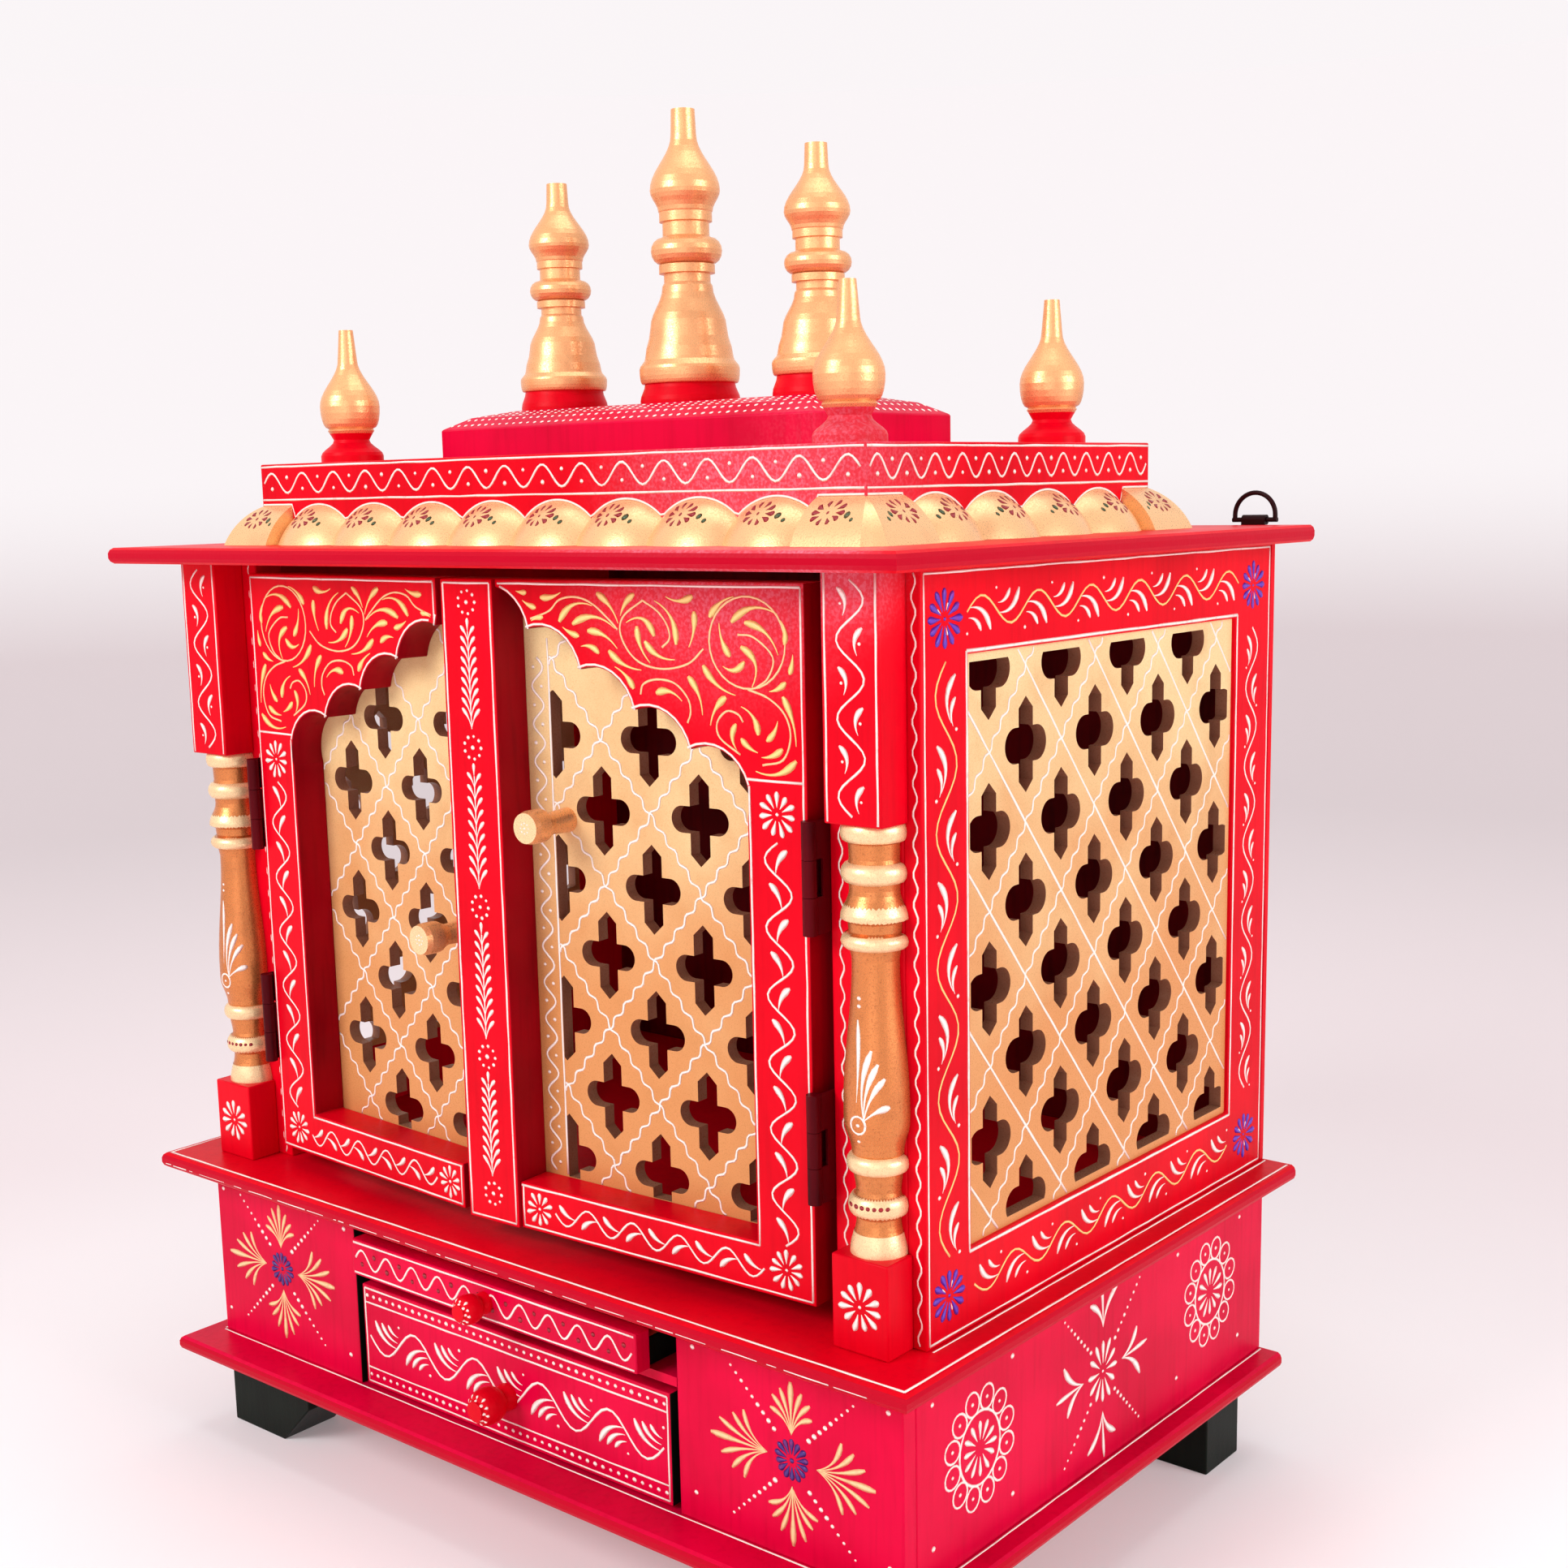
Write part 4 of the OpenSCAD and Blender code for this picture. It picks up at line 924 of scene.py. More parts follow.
def scrolls(free_edge):
    """Strokes and thin lines that whirl over the arch."""
    strokes = loop((169.0, 491.5), 21.5, 20.8, line_width=1.1, paint="peach", steps=30)
    for stops in SCROLL_LINES:
        strokes += flow([p for p in stops if p[0] > free_edge + 4.0])
    for head, tail, bend in SCROLL_COMMAS:
        if min(head[0], tail[0]) > free_edge + 4.0:
            long = (Vector(tail) - Vector(head)).length
            strokes += comma(head, tail, min(1.9, 1.1 + long * 0.05), bend, "cream", DROP if long > 15.0 else LEAF)
    return strokes


def door_frame_strokes(free_edge, daisy_x):
    """Ornament of a door frame, drawn as the right-hand door."""
    mid = (OPENING + DOOR_EDGE) / 2
    rail = (DOOR_FOOT + SILL) / 2
    near, far, foot, top = free_edge + 2.0, DOOR_EDGE - 2.0, DOOR_FOOT + 2.0, DOOR_TOP - 2.0
    sill, jamb, crown = SILL - 1.6, OPENING + 1.6, arch_height(near) + 1.3
    borders = [((near, foot), (far, foot)), ((far, foot), (far, top)), ((near, top), (far, top)),
               ((near, foot), (near, sill))]
    if crown < top - 2.7:
        borders.append(((near, crown), (near, top)))
    borders += [((free_edge + 1.0, sill), (jamb, sill)), ((jamb, sill), (jamb, SPRING)),
                ((OPENING, SPRING + 3.0), (far, SPRING + 3.0))]
    strokes = [s for a, b in borders for s in line(a, b)]
    strokes += arch_line(free_edge) + scrolls(free_edge)
    strokes += daisy((mid, SPRING - 12.0), 10.5, 11, 1.45)
    strokes += daisy((mid, rail + 2.0), 10.0, 11, 1.4)
    strokes += daisy((daisy_x, rail), 9.0, 10, 1.35)
    strokes += vine((mid, SPRING - 25.0), (mid, rail + 14.0), 6.0, 7.5, fat=1.75, deep=0.7, seeds=False, phase=0.5)
    strokes += vine((daisy_x + 11.0, rail), (mid - 13.0, rail), 4.5, 5.5, fat=1.6, deep=0.9, phase=0.5, seeds=False)
    return strokes


# The cut-outs' grid: its pitch and a height on it; where it lies across the left door, and behind a side's front edge
PITCH_W, PITCH_H, GRID_Z = 61.5, 73.4, 257.0
LEFT_GRID, SIDE_GRID = -78.0, 86.0


def lattice_strokes(x0, x1, z0, z1, grid_x, straight=False):
    """Diagonal lines that pass between the cut-outs: wavy ones, or straight ones where they fall to the right."""
    strokes = []
    half_w, half_h = PITCH_W / 2, PITCH_H / 2
    for lean in (-1, 1):
        for m in range(-41, 42, 2):
            def at(i):
                return Vector((grid_x + i * half_w, GRID_Z + lean * (i - m) * half_h))
            rise = sorted((z - GRID_Z) / half_h * lean + m for z in (z0, z1))
            first, last = max((x0 - grid_x) / half_w, rise[0]), min((x1 - grid_x) / half_w, rise[1])
            if last - first < 0.15:
                continue
            a, b = at(first), at(last)
            if straight and lean < 0:
                strokes += line(a, b, 1.5, "pale")
            else:
                strokes += wave(a, b, round((b - a).length / 10.5) or 1, 1.2, 1.4, "pale", steps=6)
    return strokes


class TEMPLE_OT_doors(CabinetOperator, bpy.types.Operator):
    """Brush the ornament of the doors"""
    bl_idname = "temple.doors"
    bl_label = "Door ornament"

    def build(self):
        face, board = on_front(FRAME_FACE), on_front(LATTICE_FACE)
        right, left = "right_door", "left_door"
        brushwork("right_door_scrolls", door_frame_strokes(BATTEN[1], 26.0), on_door(face, right), right)
        brushwork("left_door_scrolls", mirrored(door_frame_strokes(-LEFT_END, 44.0)), on_door(face, left), left)
        margin = BATTEN[1] + 16.0
        ends = (margin - 8.5, SILL + 2.0), (margin - 8.5, DOOR_TOP - 40.0)
        strokes = lattice_strokes(margin, OPENING, SILL, DOOR_TOP - 12.0, PITCH_W)
        strokes += line((margin - 0.8, SILL + 1.0), (margin - 0.8, DOOR_TOP - 30.0), 1.4, "pale")
        strokes += wave(*ends, 14.0, 3.8, 1.4, "pale") + hollow_dots(*ends, 28, 2.6, 1.0, "pale")
        brushwork("right_lattice_lines", strokes, on_door(board, right), right)
        strokes = lattice_strokes(-OPENING, LEFT_END - 1.0, SILL, DOOR_TOP - 20.0, LEFT_GRID)
        brushwork("left_lattice_lines", strokes, on_door(board, left), left)
        middle = sum(BATTEN) / 2
        strokes = outline(BATTEN[0] + 2.0, BATTEN[1] - 2.0, DOOR_FOOT + 2.0, DOOR_TOP - 2.0)
        flowers = (507.0, 434.0, 352.0, 273.0, 199.0)
        for z in flowers:
            strokes += ring_flower((middle, z), 5.8, 9, 0.95, 1.2)
        for high, low in zip(flowers, flowers[1:]):
            strokes += fern((middle, low + 9.5), (middle, high - 14.5), 9, 12.0, 1.15)
        brushwork("batten_ferns", strokes, on_door(on_front(BATTEN_FACE), right), right)
        for name, body in (("right_door_knob", right), ("left_door_knob", left)):
            low, high = millimetres(name)
            strokes = ring_flower(face_middle(low, high), 2.6, 8, 0.5, 0.6)
            brushwork(name + "_flower", strokes, draped(name, on_front(low.y - 5.0)), body)


class TEMPLE_OT_sides(CabinetOperator, bpy.types.Operator):
    """Brush the vines, corner flowers and lattice lines of both sides"""
    bl_idname = "temple.sides"
    bl_label = "Side ornament"

    def build(self):
        low, high = millimetres("side_frame_right")
        hole_low, hole_high = millimetres("side_lattice_right")
        y0, y1, z0, z1 = hole_low.y, hole_high.y, hole_low.z, hole_high.z
        strokes = outline(low.y + 2.5, high.y - 2.0, low.z + 2.0, high.z - 2.5)
        strokes += outline(y0 - 1.6, y1 + 1.6, z0 - 1.6, z1 + 1.6, wide=1.6)
        front, back = (low.y + y0) / 2, (high.y + y1) / 2 - 1.0
        top, foot = (high.z + z1) / 2 - 1.0, (low.z + z0) / 2 + 2.0
        for at in ((front, top - 2.0), (back, top - 2.0), (front, foot), (back, foot)):
            strokes += daisy(at, 13.0, 12, 1.9, "violet", inner=0.25, heart=0.9)
            strokes += daisy(at, 7.5, 5, 0.5, "white", inner=0.55, heart=0, turn=70.0)
        nested = {"leaves": 2, "fat": 1.9, "deep": 0.9, "rise": -0.5, "bend": 100.0}
        strokes += vine((front + 0.5, z1 - 2.0), (front + 0.5, z0 + 1.0), 4.5, 8.0, stem="cream", phase=0.5, **nested)
        strokes += vine((back, z1 - 6.0), (back, z0 + 10.0), 6.0, 6.5, **{**nested, "fat": 1.5})
        combed = {"leaves": 2, "fat": 1.75, "deep": 1.3, "rise": 0.25, "bend": 85.0, "stem": "cream", "phase": 0.5}
        strokes += vine((y1 + 2.0, top), (y0 - 1.0, top), 5.5, 6.8, **combed)
        strokes += vine((y0 + 2.0, foot - 1.0), (y1 - 1.0, foot - 1.0), 5.5, 6.2, **{**combed, "fat": 1.6})
        grid_y = low.y + SIDE_GRID + PITCH_W / 2
        lines = lattice_strokes(y0 + 1.0, y1 - 1.0, z0 + 1.0, z1 - 1.0, grid_y, straight=True)
        for side, out in SIDES:
            brushwork(side + "_side_vines", strokes, on_side(out * high.x, out))
            brushwork(side + "_side_lines", lines, on_side(out * hole_high.x, out))


# Shares of a column's height: its rings from foot to head, and a row of notches on the second one
RINGS = ((0.0, 0.05), (0.095, 0.138), (0.197, 0.235), (0.715, 0.75), (0.783, 0.815), (0.866, 0.91), (0.96, 1.0))
NOTCHES = 0.121
STRIPS = (212.0, 253.2)  # middles of the strips beside the right column
SHAFT_LOOK = math.radians(26.0)  # how far the shaft's ornament is turned to the right


class TEMPLE_OT_columns(CabinetOperator, bpy.types.Operator):
    """Brush the column blocks, shafts and the strips beside them"""
    bl_idname = "temple.columns"
    bl_label = "Column ornament"

    def build(self):
        low, high = millimetres("column_blocks")
        shaft_low, shaft_high = millimetres("column_right")
        axis = (shaft_low + shaft_high) / 2
        x, half = axis.x, high.x - axis.x
        strokes = []
        for u in (x - half + 2.0, x + half - 2.0):
            strokes += line((u, shaft_high.z + 1.0), (u, high.z - 1.0))
        strokes += vine((x, high.z - 4.0), (x, shaft_high.z + 4.0), 3.0, 7.4, fat=1.5, deep=0.9, rise=-0.5, bend=95.0)
        strokes += daisy((x, (low.z + shaft_low.z) / 2), 12.0, 11, 1.7)
        strips = []
        for u in STRIPS:
            strips += wave((u, low.z + 2.0), (u, high.z - 2.0), 26.0, 1.2, 1.1, steps=6)
        notch_z = shaft_low.z + NOTCHES * (shaft_high.z - shaft_low.z)
        stile_face = on_front(millimetres("stile_right")[0].y)
        for side, turn in SIDES:
            if turn < 0:
                strokes, strips = mirrored(strokes), mirrored(strips)
            brushwork(side + "_block_vines", strokes, on_front(low.y))
            brushwork(side + "_strip_waves", strips, stile_face)
            pin = Vector((turn * x, axis.y, 0.0)) * MM
            shaft = draped("column_" + side, swung(on_front(low.y - 30.0), pin, SHAFT_LOOK))
            brushwork(side + "_shaft_spray", self.spray(turn * x, shaft_low.z + 66.0), shaft)
            notches = [s for k in range(-3, 4) for s in dot((turn * x + 2.9 * k, notch_z), 1.0, "ruby")]
            brushwork(side + "_ring_notches", notches, lambda u, v, w: shaft(u, v, w + COAT))
            self.gilding("column_" + side)

    def gilding(self, name):
        """A paler coat over the rings of a column."""
        low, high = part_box(name)
        bm = mesh_of(name)
        bmesh.ops.remove_doubles(bm, verts=bm.verts, dist=MERGE)
        bare = []
        for face in bm.faces:
            share = (face.calc_center_median().z - low.z) / (high.z - low.z)
            if abs(face.normal.z) > 0.97 or face.normal.y > 0.97 or not any(a < share < b for a, b in RINGS):
                bare.append(face)
        bmesh.ops.delete(bm, geom=bare, context="FACES")
        bm.normal_update()
        for vert in bm.verts:
            vert.co += vert.normal * COAT * MM
        add_piece(name + "_rings", bm, "cabinet", "bead_gold", smooth=True)

    def spray(self, x, z):
        """Strokes that fan out to one side of a tall one, over a small ring."""
        root = Vector((x, z))
        strokes = comma(root + Vector((-4.0, 44.0)), root + Vector((-4.5, 7.0)), 1.15, 8.0)
        for across, up, fat in ((2.5, 31.0, 1.5), (5.5, 25.0, 1.5), (8.5, 18.5, 1.5), (10.5, 5.5, 1.7)):
            strokes += comma(root + Vector((across, up)), root + Vector((-1.0, -1.0)), fat, -34.0, profile=DROP)
        strokes += loop(root + Vector((-4.0, -3.5)), 3.6, 4.2, line_width=1.2)
        for across, up in ((-4.0, -3.5), (-4.0, -11.5), (-3.5, 50.0), (-3.5, 53.5)):
            strokes += dot(root + Vector((across, up)), 0.9)
        return strokes


class TEMPLE_OT_roof(CabinetOperator, bpy.types.Operator):
    """Brush the tier bands, the crown's dots and the cornice flowers"""
    bl_idname = "temple.roof"
    bl_label = "Roof ornament"

    def band(self, start, end, low, high, waves):
        """A wave between two lines, with dots in its hollows."""
        middle = (low + high) / 2
        strokes = line((start, high), (end, high)) + line((start, low), (end, low))
        ends = (start + 2.0, middle), (end - 2.0, middle)
        strokes += wave(*ends, waves, (high - low) * 0.3, 1.35)
        return strokes + hollow_dots(*ends, round(2 * waves), 3.2, 1.15)

    def build(self):
        low, high = millimetres("tier_box")
        edge_low, edge_high = low.z + 25.0, high.z - 1.6
        top = draped("cornice", on_top(high.z))

        def rim(start, end, at):
            """A line along the wall just above the scallops."""
            count = round((end - start) / 2.6)
            us = [start + (end - start) * k / count for k in range(count + 1)]
            return [("white", [(u, top(*at(u), 0.0).z / MM + 0.9, 0.62) for u in us])]
        front = self.band(low.x + 1.0, high.x - 1.0, edge_low, edge_high, 15.5)
        front += rim(low.x + 1.0, high.x - 1.0, lambda u: (u, low.y - 0.4))
        brushwork("tier_front_band", front, on_front(low.y))
        side = self.band(low.y + 1.0, high.y - 1.0, edge_low, edge_high, 11.0)
        side += rim(low.y + 1.0, high.y - 1.0, lambda u: (high.x + 0.4, u))
        for name, x, out in (("right", high.x, 1.0), ("left", low.x, -1.0)):
            brushwork(f"tier_{name}_band", side, on_side(x, out))
        self.crown()
        self.cornice()

    def crown(self):
        """Rows of dots round the low crown of the slab."""
        low, high = millimetres("tier_slab")
        strokes = []
        for row, inset in enumerate((4.0, 9.5, 15.0, 20.5, 26.0)):
            corners = [(low.x + inset, low.y + inset), (high.x - inset, low.y + inset),
                       (high.x - inset, high.y - inset), (low.x + inset, high.y - inset)]
            for a, b in zip(corners, corners[1:] + corners[:1]):
                a, b = Vector(a), Vector(b)
                count = round((b - a).length / 5.6)
                for k in range(count):
                    strokes += dot(a.lerp(b, (k + 0.5 * (row % 2) + 0.25) / count), 1.05)
        brushwork("crown_dots", strokes, draped("tier_slab", on_top(high.z + 5.0)))

    def cornice(self):
        """A dark flower with two green dots on each petal."""
        low, high = millimetres("cornice")
        for name, start, end, count, place, way in (
                ("front", low.x, high.x, 10, on_front(low.y - 5.0), -1.0),
                ("right", low.y, high.y, 6, on_side(high.x + 5.0), 1.0),
                ("left", low.y, high.y, 6, on_side(low.x - 5.0, -1.0), 1.0)):
            strokes = []
            z = low.z + 14.5
            for k in range(count):
                corner = 7.0 if k == 0 else -7.0 if k == count - 1 else 0.0
                u = start + (end - start) / count * (k + 0.5) + corner
                strokes += daisy((u + way * 3.0, z), 9.5, 10, 1.15, "ruby", 0.55, 0.48, 0, 72.0)
                strokes += dot((u + way * 3.0, z), 0.8, "ruby")
                strokes += dot((u - way * 8.5, z - 1.0), 1.4, "green") + dot((u - way * 12.0, z - 3.0), 1.0, "green")
            brushwork(f"cornice_{name}_flowers", strokes, draped("cornice", place))


class TEMPLE_OT_plinth(CabinetOperator, bpy.types.Operator):
    """Brush the bursts, medallions and lines of the plinth and the plates"""
    bl_idname = "temple.plinth"
    bl_label = "Plinth ornament"

    def corner_dots(self, at, near, far, first, last):
        """Rows of dots that run out from a flower to four corners."""
        strokes = []
        for corner in ((1, 1), (1, -1), (-1, 1), (-1, -1)):
            strokes += dotted(at + Vector(near) * Vector(corner), at + Vector(far) * Vector(corner), 9, first, last)
        return strokes

    def nails(self, across, heights):
        """White dots over the heads of the nails."""
        return [s for u in across for z in heights for s in dot((u, z), 1.35)]

    def burst(self, at):
        """Four fans round a dark flower."""
        at = Vector(at)
        strokes = daisy(at, 10.5, 14, 1.75, "indigo", inner=0.3, heart=0) + dot(at, 1.2, "indigo")
        for way, root, long in ((90.0, 13.0, 27.0), (270.0, 13.0, 30.0), (0.0, 15.0, 35.0), (180.0, 15.0, 35.0)):
            strokes += fan(at + toward(way, root), way, long)
        return strokes + self.corner_dots(at, (10.5, 13.0), (37.0, 38.0), 1.45, 0.75)

    def medallion(self, at):
        """A flower in a ring of ovals."""
        at = Vector(at)
        strokes = loop(at, 17.0, 18.5, line_width=1.5, steps=28)
        for k in range(12):
            a = 360.0 * k / 12 + 15.0
            out = toward(a)
            centre = at + Vector((out.x * 23.5, out.y * 24.5))
            strokes += loop(centre, 6.2, 5.6, a, 1.3) + dot(centre, 1.0)
        return strokes + daisy(at, 14.0, 12, 1.5, heart=0, inner=0.3)

    def star(self, at):
        """A flower with three strokes to each of four sides."""
        at = Vector(at)
        strokes = daisy(at, 14.0, 12, 1.6, tall=1.25, heart=1.0, inner=0.26)
        for way, root in ((90.0, 24.0), (270.0, 22.0), (0.0, 19.0), (180.0, 19.0)):
            foot = at + toward(way, root)
            for lean, long, fat in ((40.0, 20.0, 1.9), (4.0, 26.0, 1.4), (-38.0, 24.0, 1.9)):
                strokes += comma(foot + toward(way + lean, long), foot, fat, lean * 1.5)
        return strokes + self.corner_dots(at, (12.0, 14.0), (37.0, 39.0), 1.2, 0.8)

    def build(self):
        low, high = millimetres("plinth_right")
        left_low, left_high = millimetres("plinth_front_left")
        right_low, right_high = millimetres("plinth_front_right")
        strokes = self.burst((-197.0, 110.5)) + self.burst((192.0, 108.5))
        ends = left_low.x + 6.0, left_high.x - 9.0, right_low.x + 11.0, right_high.x - 8.0
        strokes += self.nails(ends, (low.z + 15.0, high.z - 15.0))
        brushwork("plinth_front_bursts", strokes, on_front(left_low.y))
        strokes = self.medallion((-101.5, 110.5)) + self.medallion((126.5, 113.0)) + self.star((11.0, 108.0))
        strokes += self.nails((-140.0, -73.5, 89.0, 160.5), (low.z + 17.5, high.z - 17.5))
        for side, out in SIDES:
            brushwork(side + "_plinth_medallions", strokes, on_side(out * high.x, out))
        self.plate_lines()

    def plate_lines(self):
        low, high = millimetres("mid_plate")
        body = millimetres("side_frame_right")[1].x
        strokes = line((low.x + 4.0, low.y + 4.5), (high.x - 4.0, low.y + 4.5), 1.8)
        for side in (-1.0, 1.0):
            strokes += line((side * (high.x - 4.5), low.y + 4.0), (side * (high.x - 4.5), high.y - 2.0), 1.6)
            strokes += line((side * (body + 2.0), low.y + 45.0), (side * (body + 2.0), high.y - 2.0), 1.4)
        brushwork("mid_plate_lines", strokes, on_top(high.z))
        # A white line broken into dashes along the lip: partly worn paint, partly painted highlight on the rounded edge
        lip, u = [], low.x + 4.0
        while u < high.x - 30.0:
            end = u + hand.uniform(2.0, 26.0)
            lip += line((u, low.z + 3.0), (min(end, high.x - 4.0), low.z + 3.0), hand.uniform(0.35, 0.7))
            u = end + hand.uniform(1.5, 10.0)
        brushwork("mid_plate_lip_line", lip, on_front(low.y))
        base = millimetres("base_plate")[1]
        foot = millimetres("plinth_front_left")[0].y
        strokes = line((-body, foot - 1.4), (body, foot - 1.4), 1.4)
        for side in (-1.0, 1.0):
            strokes += line((side * (body + 1.4), foot), (side * (body + 1.4), base.y - 2.0), 1.4)
        brushwork("base_plate_lines", strokes, on_top(base.z))


class TEMPLE_OT_drawers(CabinetOperator, bpy.types.Operator):
    """Brush the drawer, the tray and their knobs"""
    bl_idname = "temple.drawers"
    bl_label = "Drawer ornament"

    def build(self):
        low, high = millimetres("drawer_front")
        strokes = []
        for edge, way in ((high.z - 2.2, -1.0), (low.z + 2.2, 1.0)):
            for gap in (0.0, 8.2):
                strokes += line((low.x + 2.0, edge + way * gap), (high.x - 2.0, edge + way * gap))
            count = round((high.x - low.x - 8.0) / 5.4)
            strokes += dotted((low.x + 4.0, edge + way * 4.1), (high.x - 4.0, edge + way * 4.1), count, 1.25, 1.25)
        for x in (low.x + 2.0, high.x - 2.0):
            strokes += line((x, low.z + 2.2), (x, high.z - 2.2))
        middle = (low.z + high.z) / 2
        strokes += vine((low.x + 5.0, middle), (high.x - 5.0, middle), 4.5, 9.5, leaves=3, fat=1.8, deep=1.05,
                        rise=0.25, bend=72.0, wide=1.5, phase=0.5)
        brushwork("drawer_garland", strokes, on_front(low.y), "drawer")
        low, high = millimetres("tray_front")
        middle = (low.z + high.z) / 2
        strokes = [s for z in (high.z - 1.8, low.z + 1.8) for s in line((low.x + 1.5, z), (high.x - 1.5, z))]
        ends = (low.x + 3.0, middle), (high.x - 3.0, middle)
        strokes += wave(*ends, 10.0, 5.0, 1.3) + hollow_dots(*ends, 20, 3.0, 1.5, "ruby")
        brushwork("tray_wave", strokes, on_front(low.y), "tray")
        for name, body in (("drawer_knob", "drawer"), ("tray_knob", "tray")):
            low, high = millimetres(name)
            at, reach = face_middle(low, high), (high.x - low.x) / 2
            strokes = ring_flower(at, reach * 0.58, 8, 0.8, 0) + daisy(at, reach * 0.88, 11, 0.85, heart=0, inner=0.78)
            drop = draped(name, on_front(low.y - 5.0))
            brushwork(name + "_flower", strokes, lambda u, v, w: held(drop(u, v, w), low.y * MM), body)


STRAP = 1.2  # thickness of the hanger straps
EYE_REACH = 13.3  # from a strap's middle to the outer side of its ring


class TEMPLE_OT_hardware(CabinetOperator, bpy.types.Operator):
    """Set screws in the hanger straps"""
    bl_idname = "temple.hardware"
    bl_label = "Screws"

    def build(self):
        low = millimetres("hanger_straps")[0]
        x = millimetres("hanger_rings")[1].x - EYE_REACH
        to_back = Matrix.Rotation(math.radians(-90.0), 4, "X")
        bm = bmesh.new()
        for side in (-1.0, 1.0):
            for z in (low.z + 5.5, low.z + 14.5):
                at = Vector((side * x, low.y + STRAP + 0.4, z)) * MM
                head = bmesh.ops.create_cone(
                    bm, cap_ends=True, segments=20, radius1=2.4 * MM, radius2=1.5 * MM, depth=0.9 * MM,
                    matrix=Matrix.Translation(at) @ to_back)
                bm.normal_update()
                top = [f for f in bm.faces if f.normal.y > 0.9 and set(f.verts) <= set(head["verts"])]
                bmesh.ops.inset_region(bm, faces=top, thickness=0.3 * MM, depth=-0.15 * MM)
        add_piece("strap_screws", bm, "cabinet", "iron")


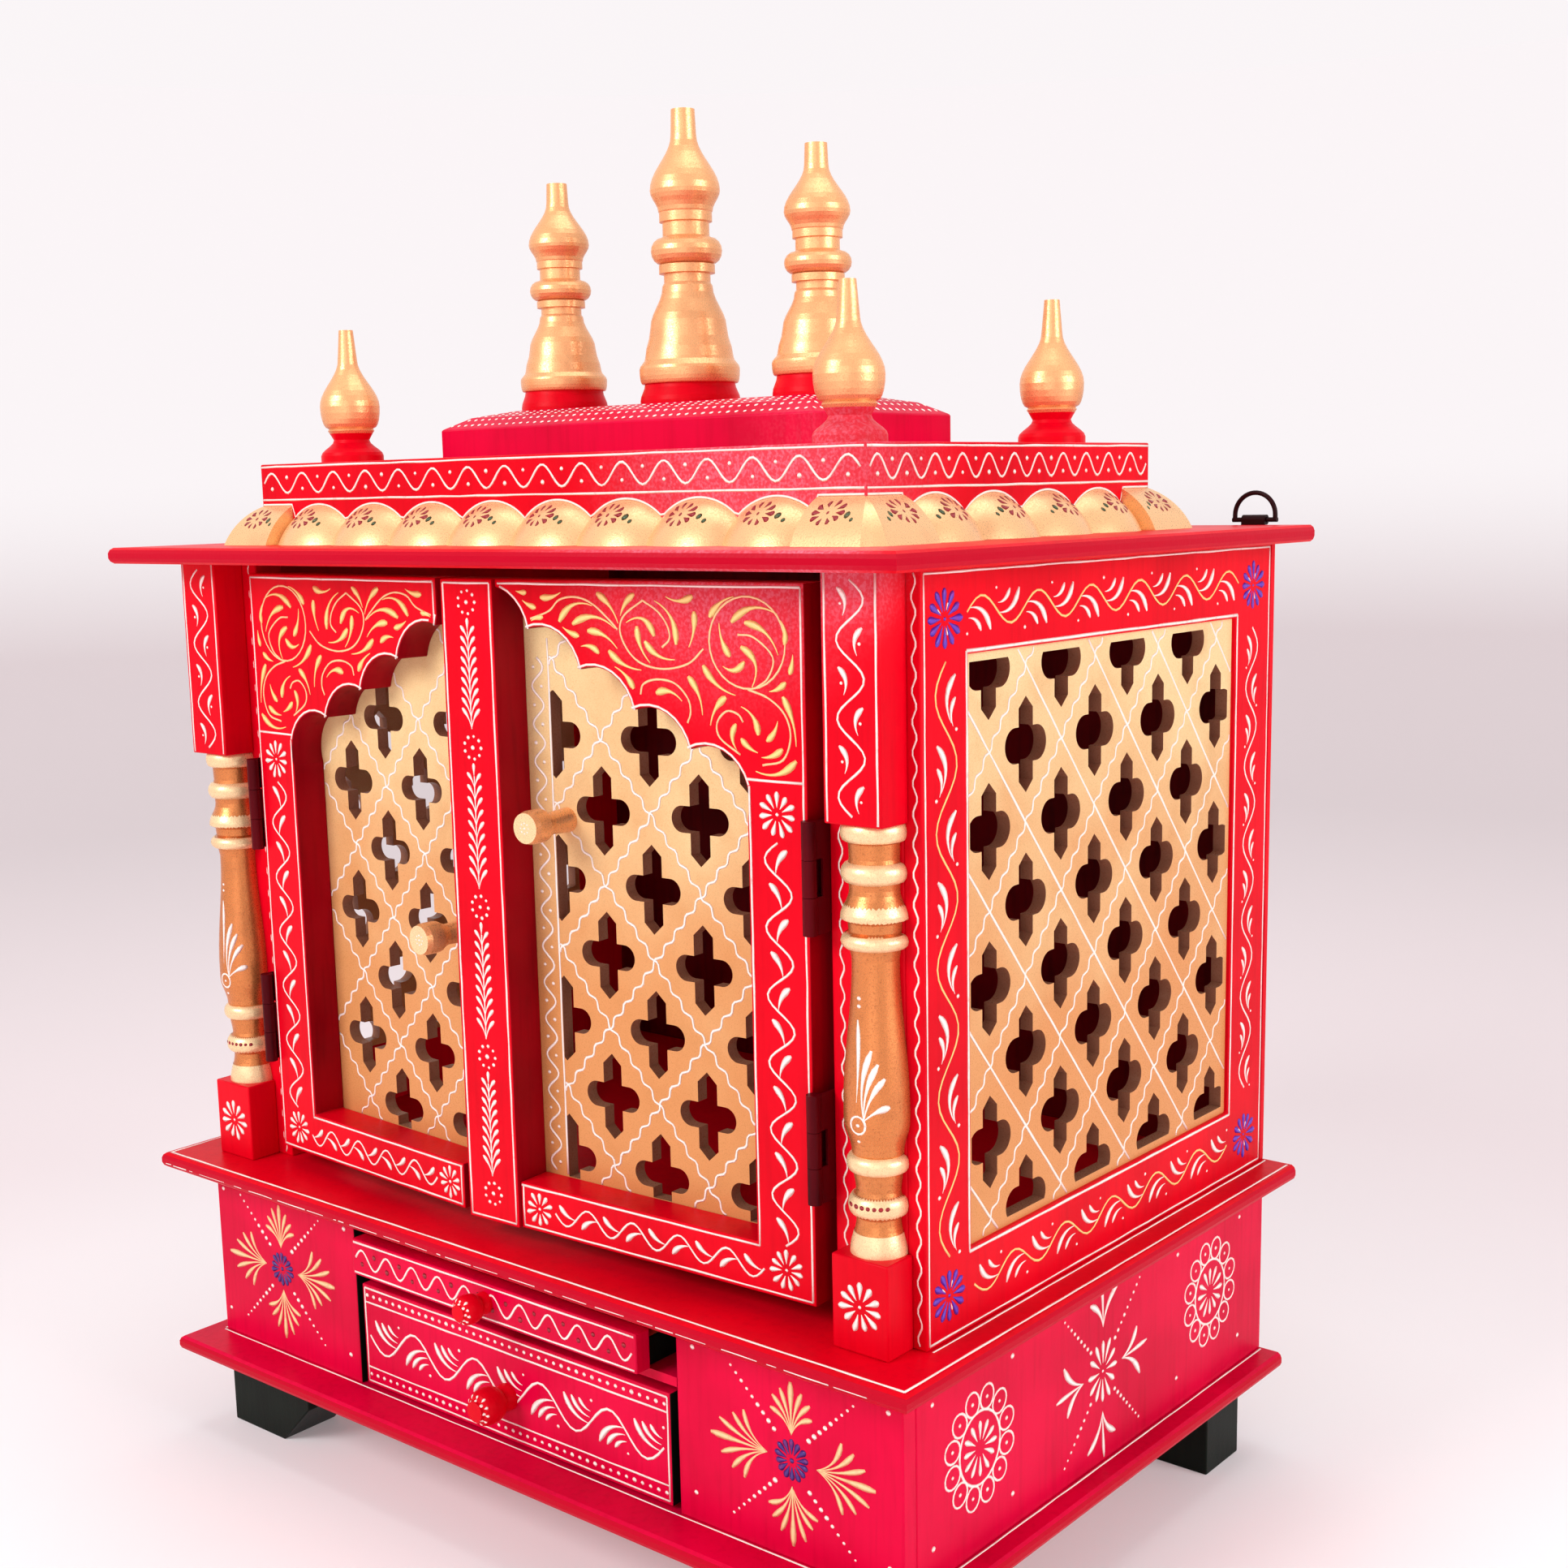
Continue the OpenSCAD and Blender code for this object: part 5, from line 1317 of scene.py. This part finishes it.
class TEMPLE_OT_stage(CabinetOperator, bpy.types.Operator):
    """Set the pale floor, the lamps and the camera"""
    bl_idname = "temple.stage"
    bl_label = "Stage"

    def build(self):
        scene = bpy.context.scene
        self.backdrop(scene.temple_stage)
        self.lamps(scene)
        self.camera(scene, scene.temple_stage)
        scene.view_settings.view_transform = "Standard"

    def backdrop(self, stage):
        """A round floor that bends up at its rim, into the tone of the world behind it."""
        flat, bend, steps = 2.5, 1.5, 16
        curve = [math.radians(90.0 * k / steps) for k in range(steps + 1)]
        profile = [(0.0, 0.0), *((flat + bend * math.sin(a), bend - bend * math.cos(a)) for a in curve)]
        bm = bmesh.new()
        verts = [bm.verts.new((far, 0.0, z)) for far, z in profile]
        edges = [bm.edges.new(pair) for pair in zip(verts, verts[1:])]
        bmesh.ops.spin(bm, geom=verts + edges, cent=(0, 0, 0), axis=(0, 0, 1), angle=math.tau, steps=96)
        bmesh.ops.remove_doubles(bm, verts=bm.verts, dist=1e-4)
        bmesh.ops.recalc_face_normals(bm, faces=bm.faces)
        floor = placed("floor", bm, smooth=True)
        material, r, shader = finishes.start("Floor")
        coords = r.place()
        off = r.span(r.vector("LENGTH", coords), 0.42, 0.85)
        r.fill(shader, Base_Color=r.mix(off, stage.floor, stage.haze), Roughness=0.7)
        near = r.span(off, 0.0, 1.0, 0.18, 0.3)
        high = r.span(r.height(coords), 0.0, 0.62, 0.0, 0.9)
        glow = r.add("ShaderNodeEmission", Color=(1.0, 0.96, 0.975))
        share = r.sums("MULTIPLY", r.seen(), r.sums("MAXIMUM", near, high))
        both = r.add("ShaderNodeMixShader")
        for key, value in enumerate((share, shader.outputs[0], glow.outputs[0])):
            r.put(both, key, value)
        r.put(material.node_tree.nodes["Material Output"], "Surface", both.outputs[0])
        floor.data.materials.append(material)

    def lamps(self, scene):
        """A pale world, brighter to the camera than its light is, and four lamps that face the temple."""
        world = scene.world or bpy.data.worlds.new("World")
        scene.world = world
        world.use_nodes = True
        r = Recipe(world.node_tree)
        sky = world.node_tree.nodes["Background"]
        r.fill(sky, Color=(1.0, 0.955, 0.97), Strength=r.span(r.seen(), 0.0, 1.0, 0.34, 0.96))
        middle = Vector((0.0, 0.0, 0.35))
        for name, place, size, power in (
                ("key", (-0.6, -2.2, 1.7), 1.1, 46.0), ("fill", (0.9, -2.2, 0.8), 1.5, 7.0),
                ("side", (2.3, 0.25, 1.1), 1.3, 33.0), ("top", (0.0, 0.3, 2.4), 1.6, 19.0)):
            lamp = bpy.data.lights.new(name, "AREA")
            lamp.size = size
            lamp.energy = power
            holder = bpy.data.objects.new(name, lamp)
            holder.location = place
            holder.rotation_euler = (middle - Vector(place)).to_track_quat("-Z", "Y").to_euler()
            scene.collection.objects.link(holder)

    def camera(self, scene, stage):
        """A camera that looks to the left and down, and leans a little."""
        facing = Matrix.Translation(Vector(stage.eye))
        for angle, axis in ((stage.turn, "Z"), (math.radians(90.0) - stage.dip, "X"), (stage.roll, "Z")):
            facing = facing @ Matrix.Rotation(angle, 4, axis)
        camera = bpy.data.cameras.new("camera")
        camera.sensor_width = 36.0
        camera.lens = stage.lens
        camera.shift_x, camera.shift_y = stage.shift
        camera.clip_start, camera.clip_end = 0.05, 50.0
        holder = bpy.data.objects.new("camera", camera)
        holder.matrix_world = facing
        scene.collection.objects.link(holder)
        scene.camera = holder


STEPS = (
    TEMPLE_OT_finishes, TEMPLE_OT_boards, TEMPLE_OT_doors, TEMPLE_OT_sides, TEMPLE_OT_columns, TEMPLE_OT_roof,
    TEMPLE_OT_plinth, TEMPLE_OT_drawers, TEMPLE_OT_hardware, TEMPLE_OT_stage)
GROUPS = {"temple_sizes": TempleSizes, "temple_paints": TemplePaints, "temple_stage": TempleStage}


class VIEW3D_PT_temple(bpy.types.Panel):
    """The temple's steps and sizes"""
    bl_label = "Home temple"
    bl_space_type = "VIEW_3D"
    bl_region_type = "UI"
    bl_category = "Temple"

    def draw(self, context):
        for step in STEPS:
            self.layout.operator(step.bl_idname)
        for name in GROUPS:
            group = getattr(context.scene, name)
            for key in group.bl_rna.properties.keys():
                if key not in ("rna_type", "name"):
                    self.layout.prop(group, key)


CLASSES = (*GROUPS.values(), *STEPS, VIEW3D_PT_temple)


def register():
    for cls in CLASSES:
        bpy.utils.register_class(cls)
    for name, group in GROUPS.items():
        setattr(bpy.types.Scene, name, bpy.props.PointerProperty(type=group))


def unregister():
    for name in GROUPS:
        delattr(bpy.types.Scene, name)
    for cls in reversed(CLASSES):
        bpy.utils.unregister_class(cls)


def main():
    register()
    for step in STEPS:
        getattr(bpy.ops.temple, step.bl_idname.split(".")[1])()


if __name__ == "__main__":
    main()
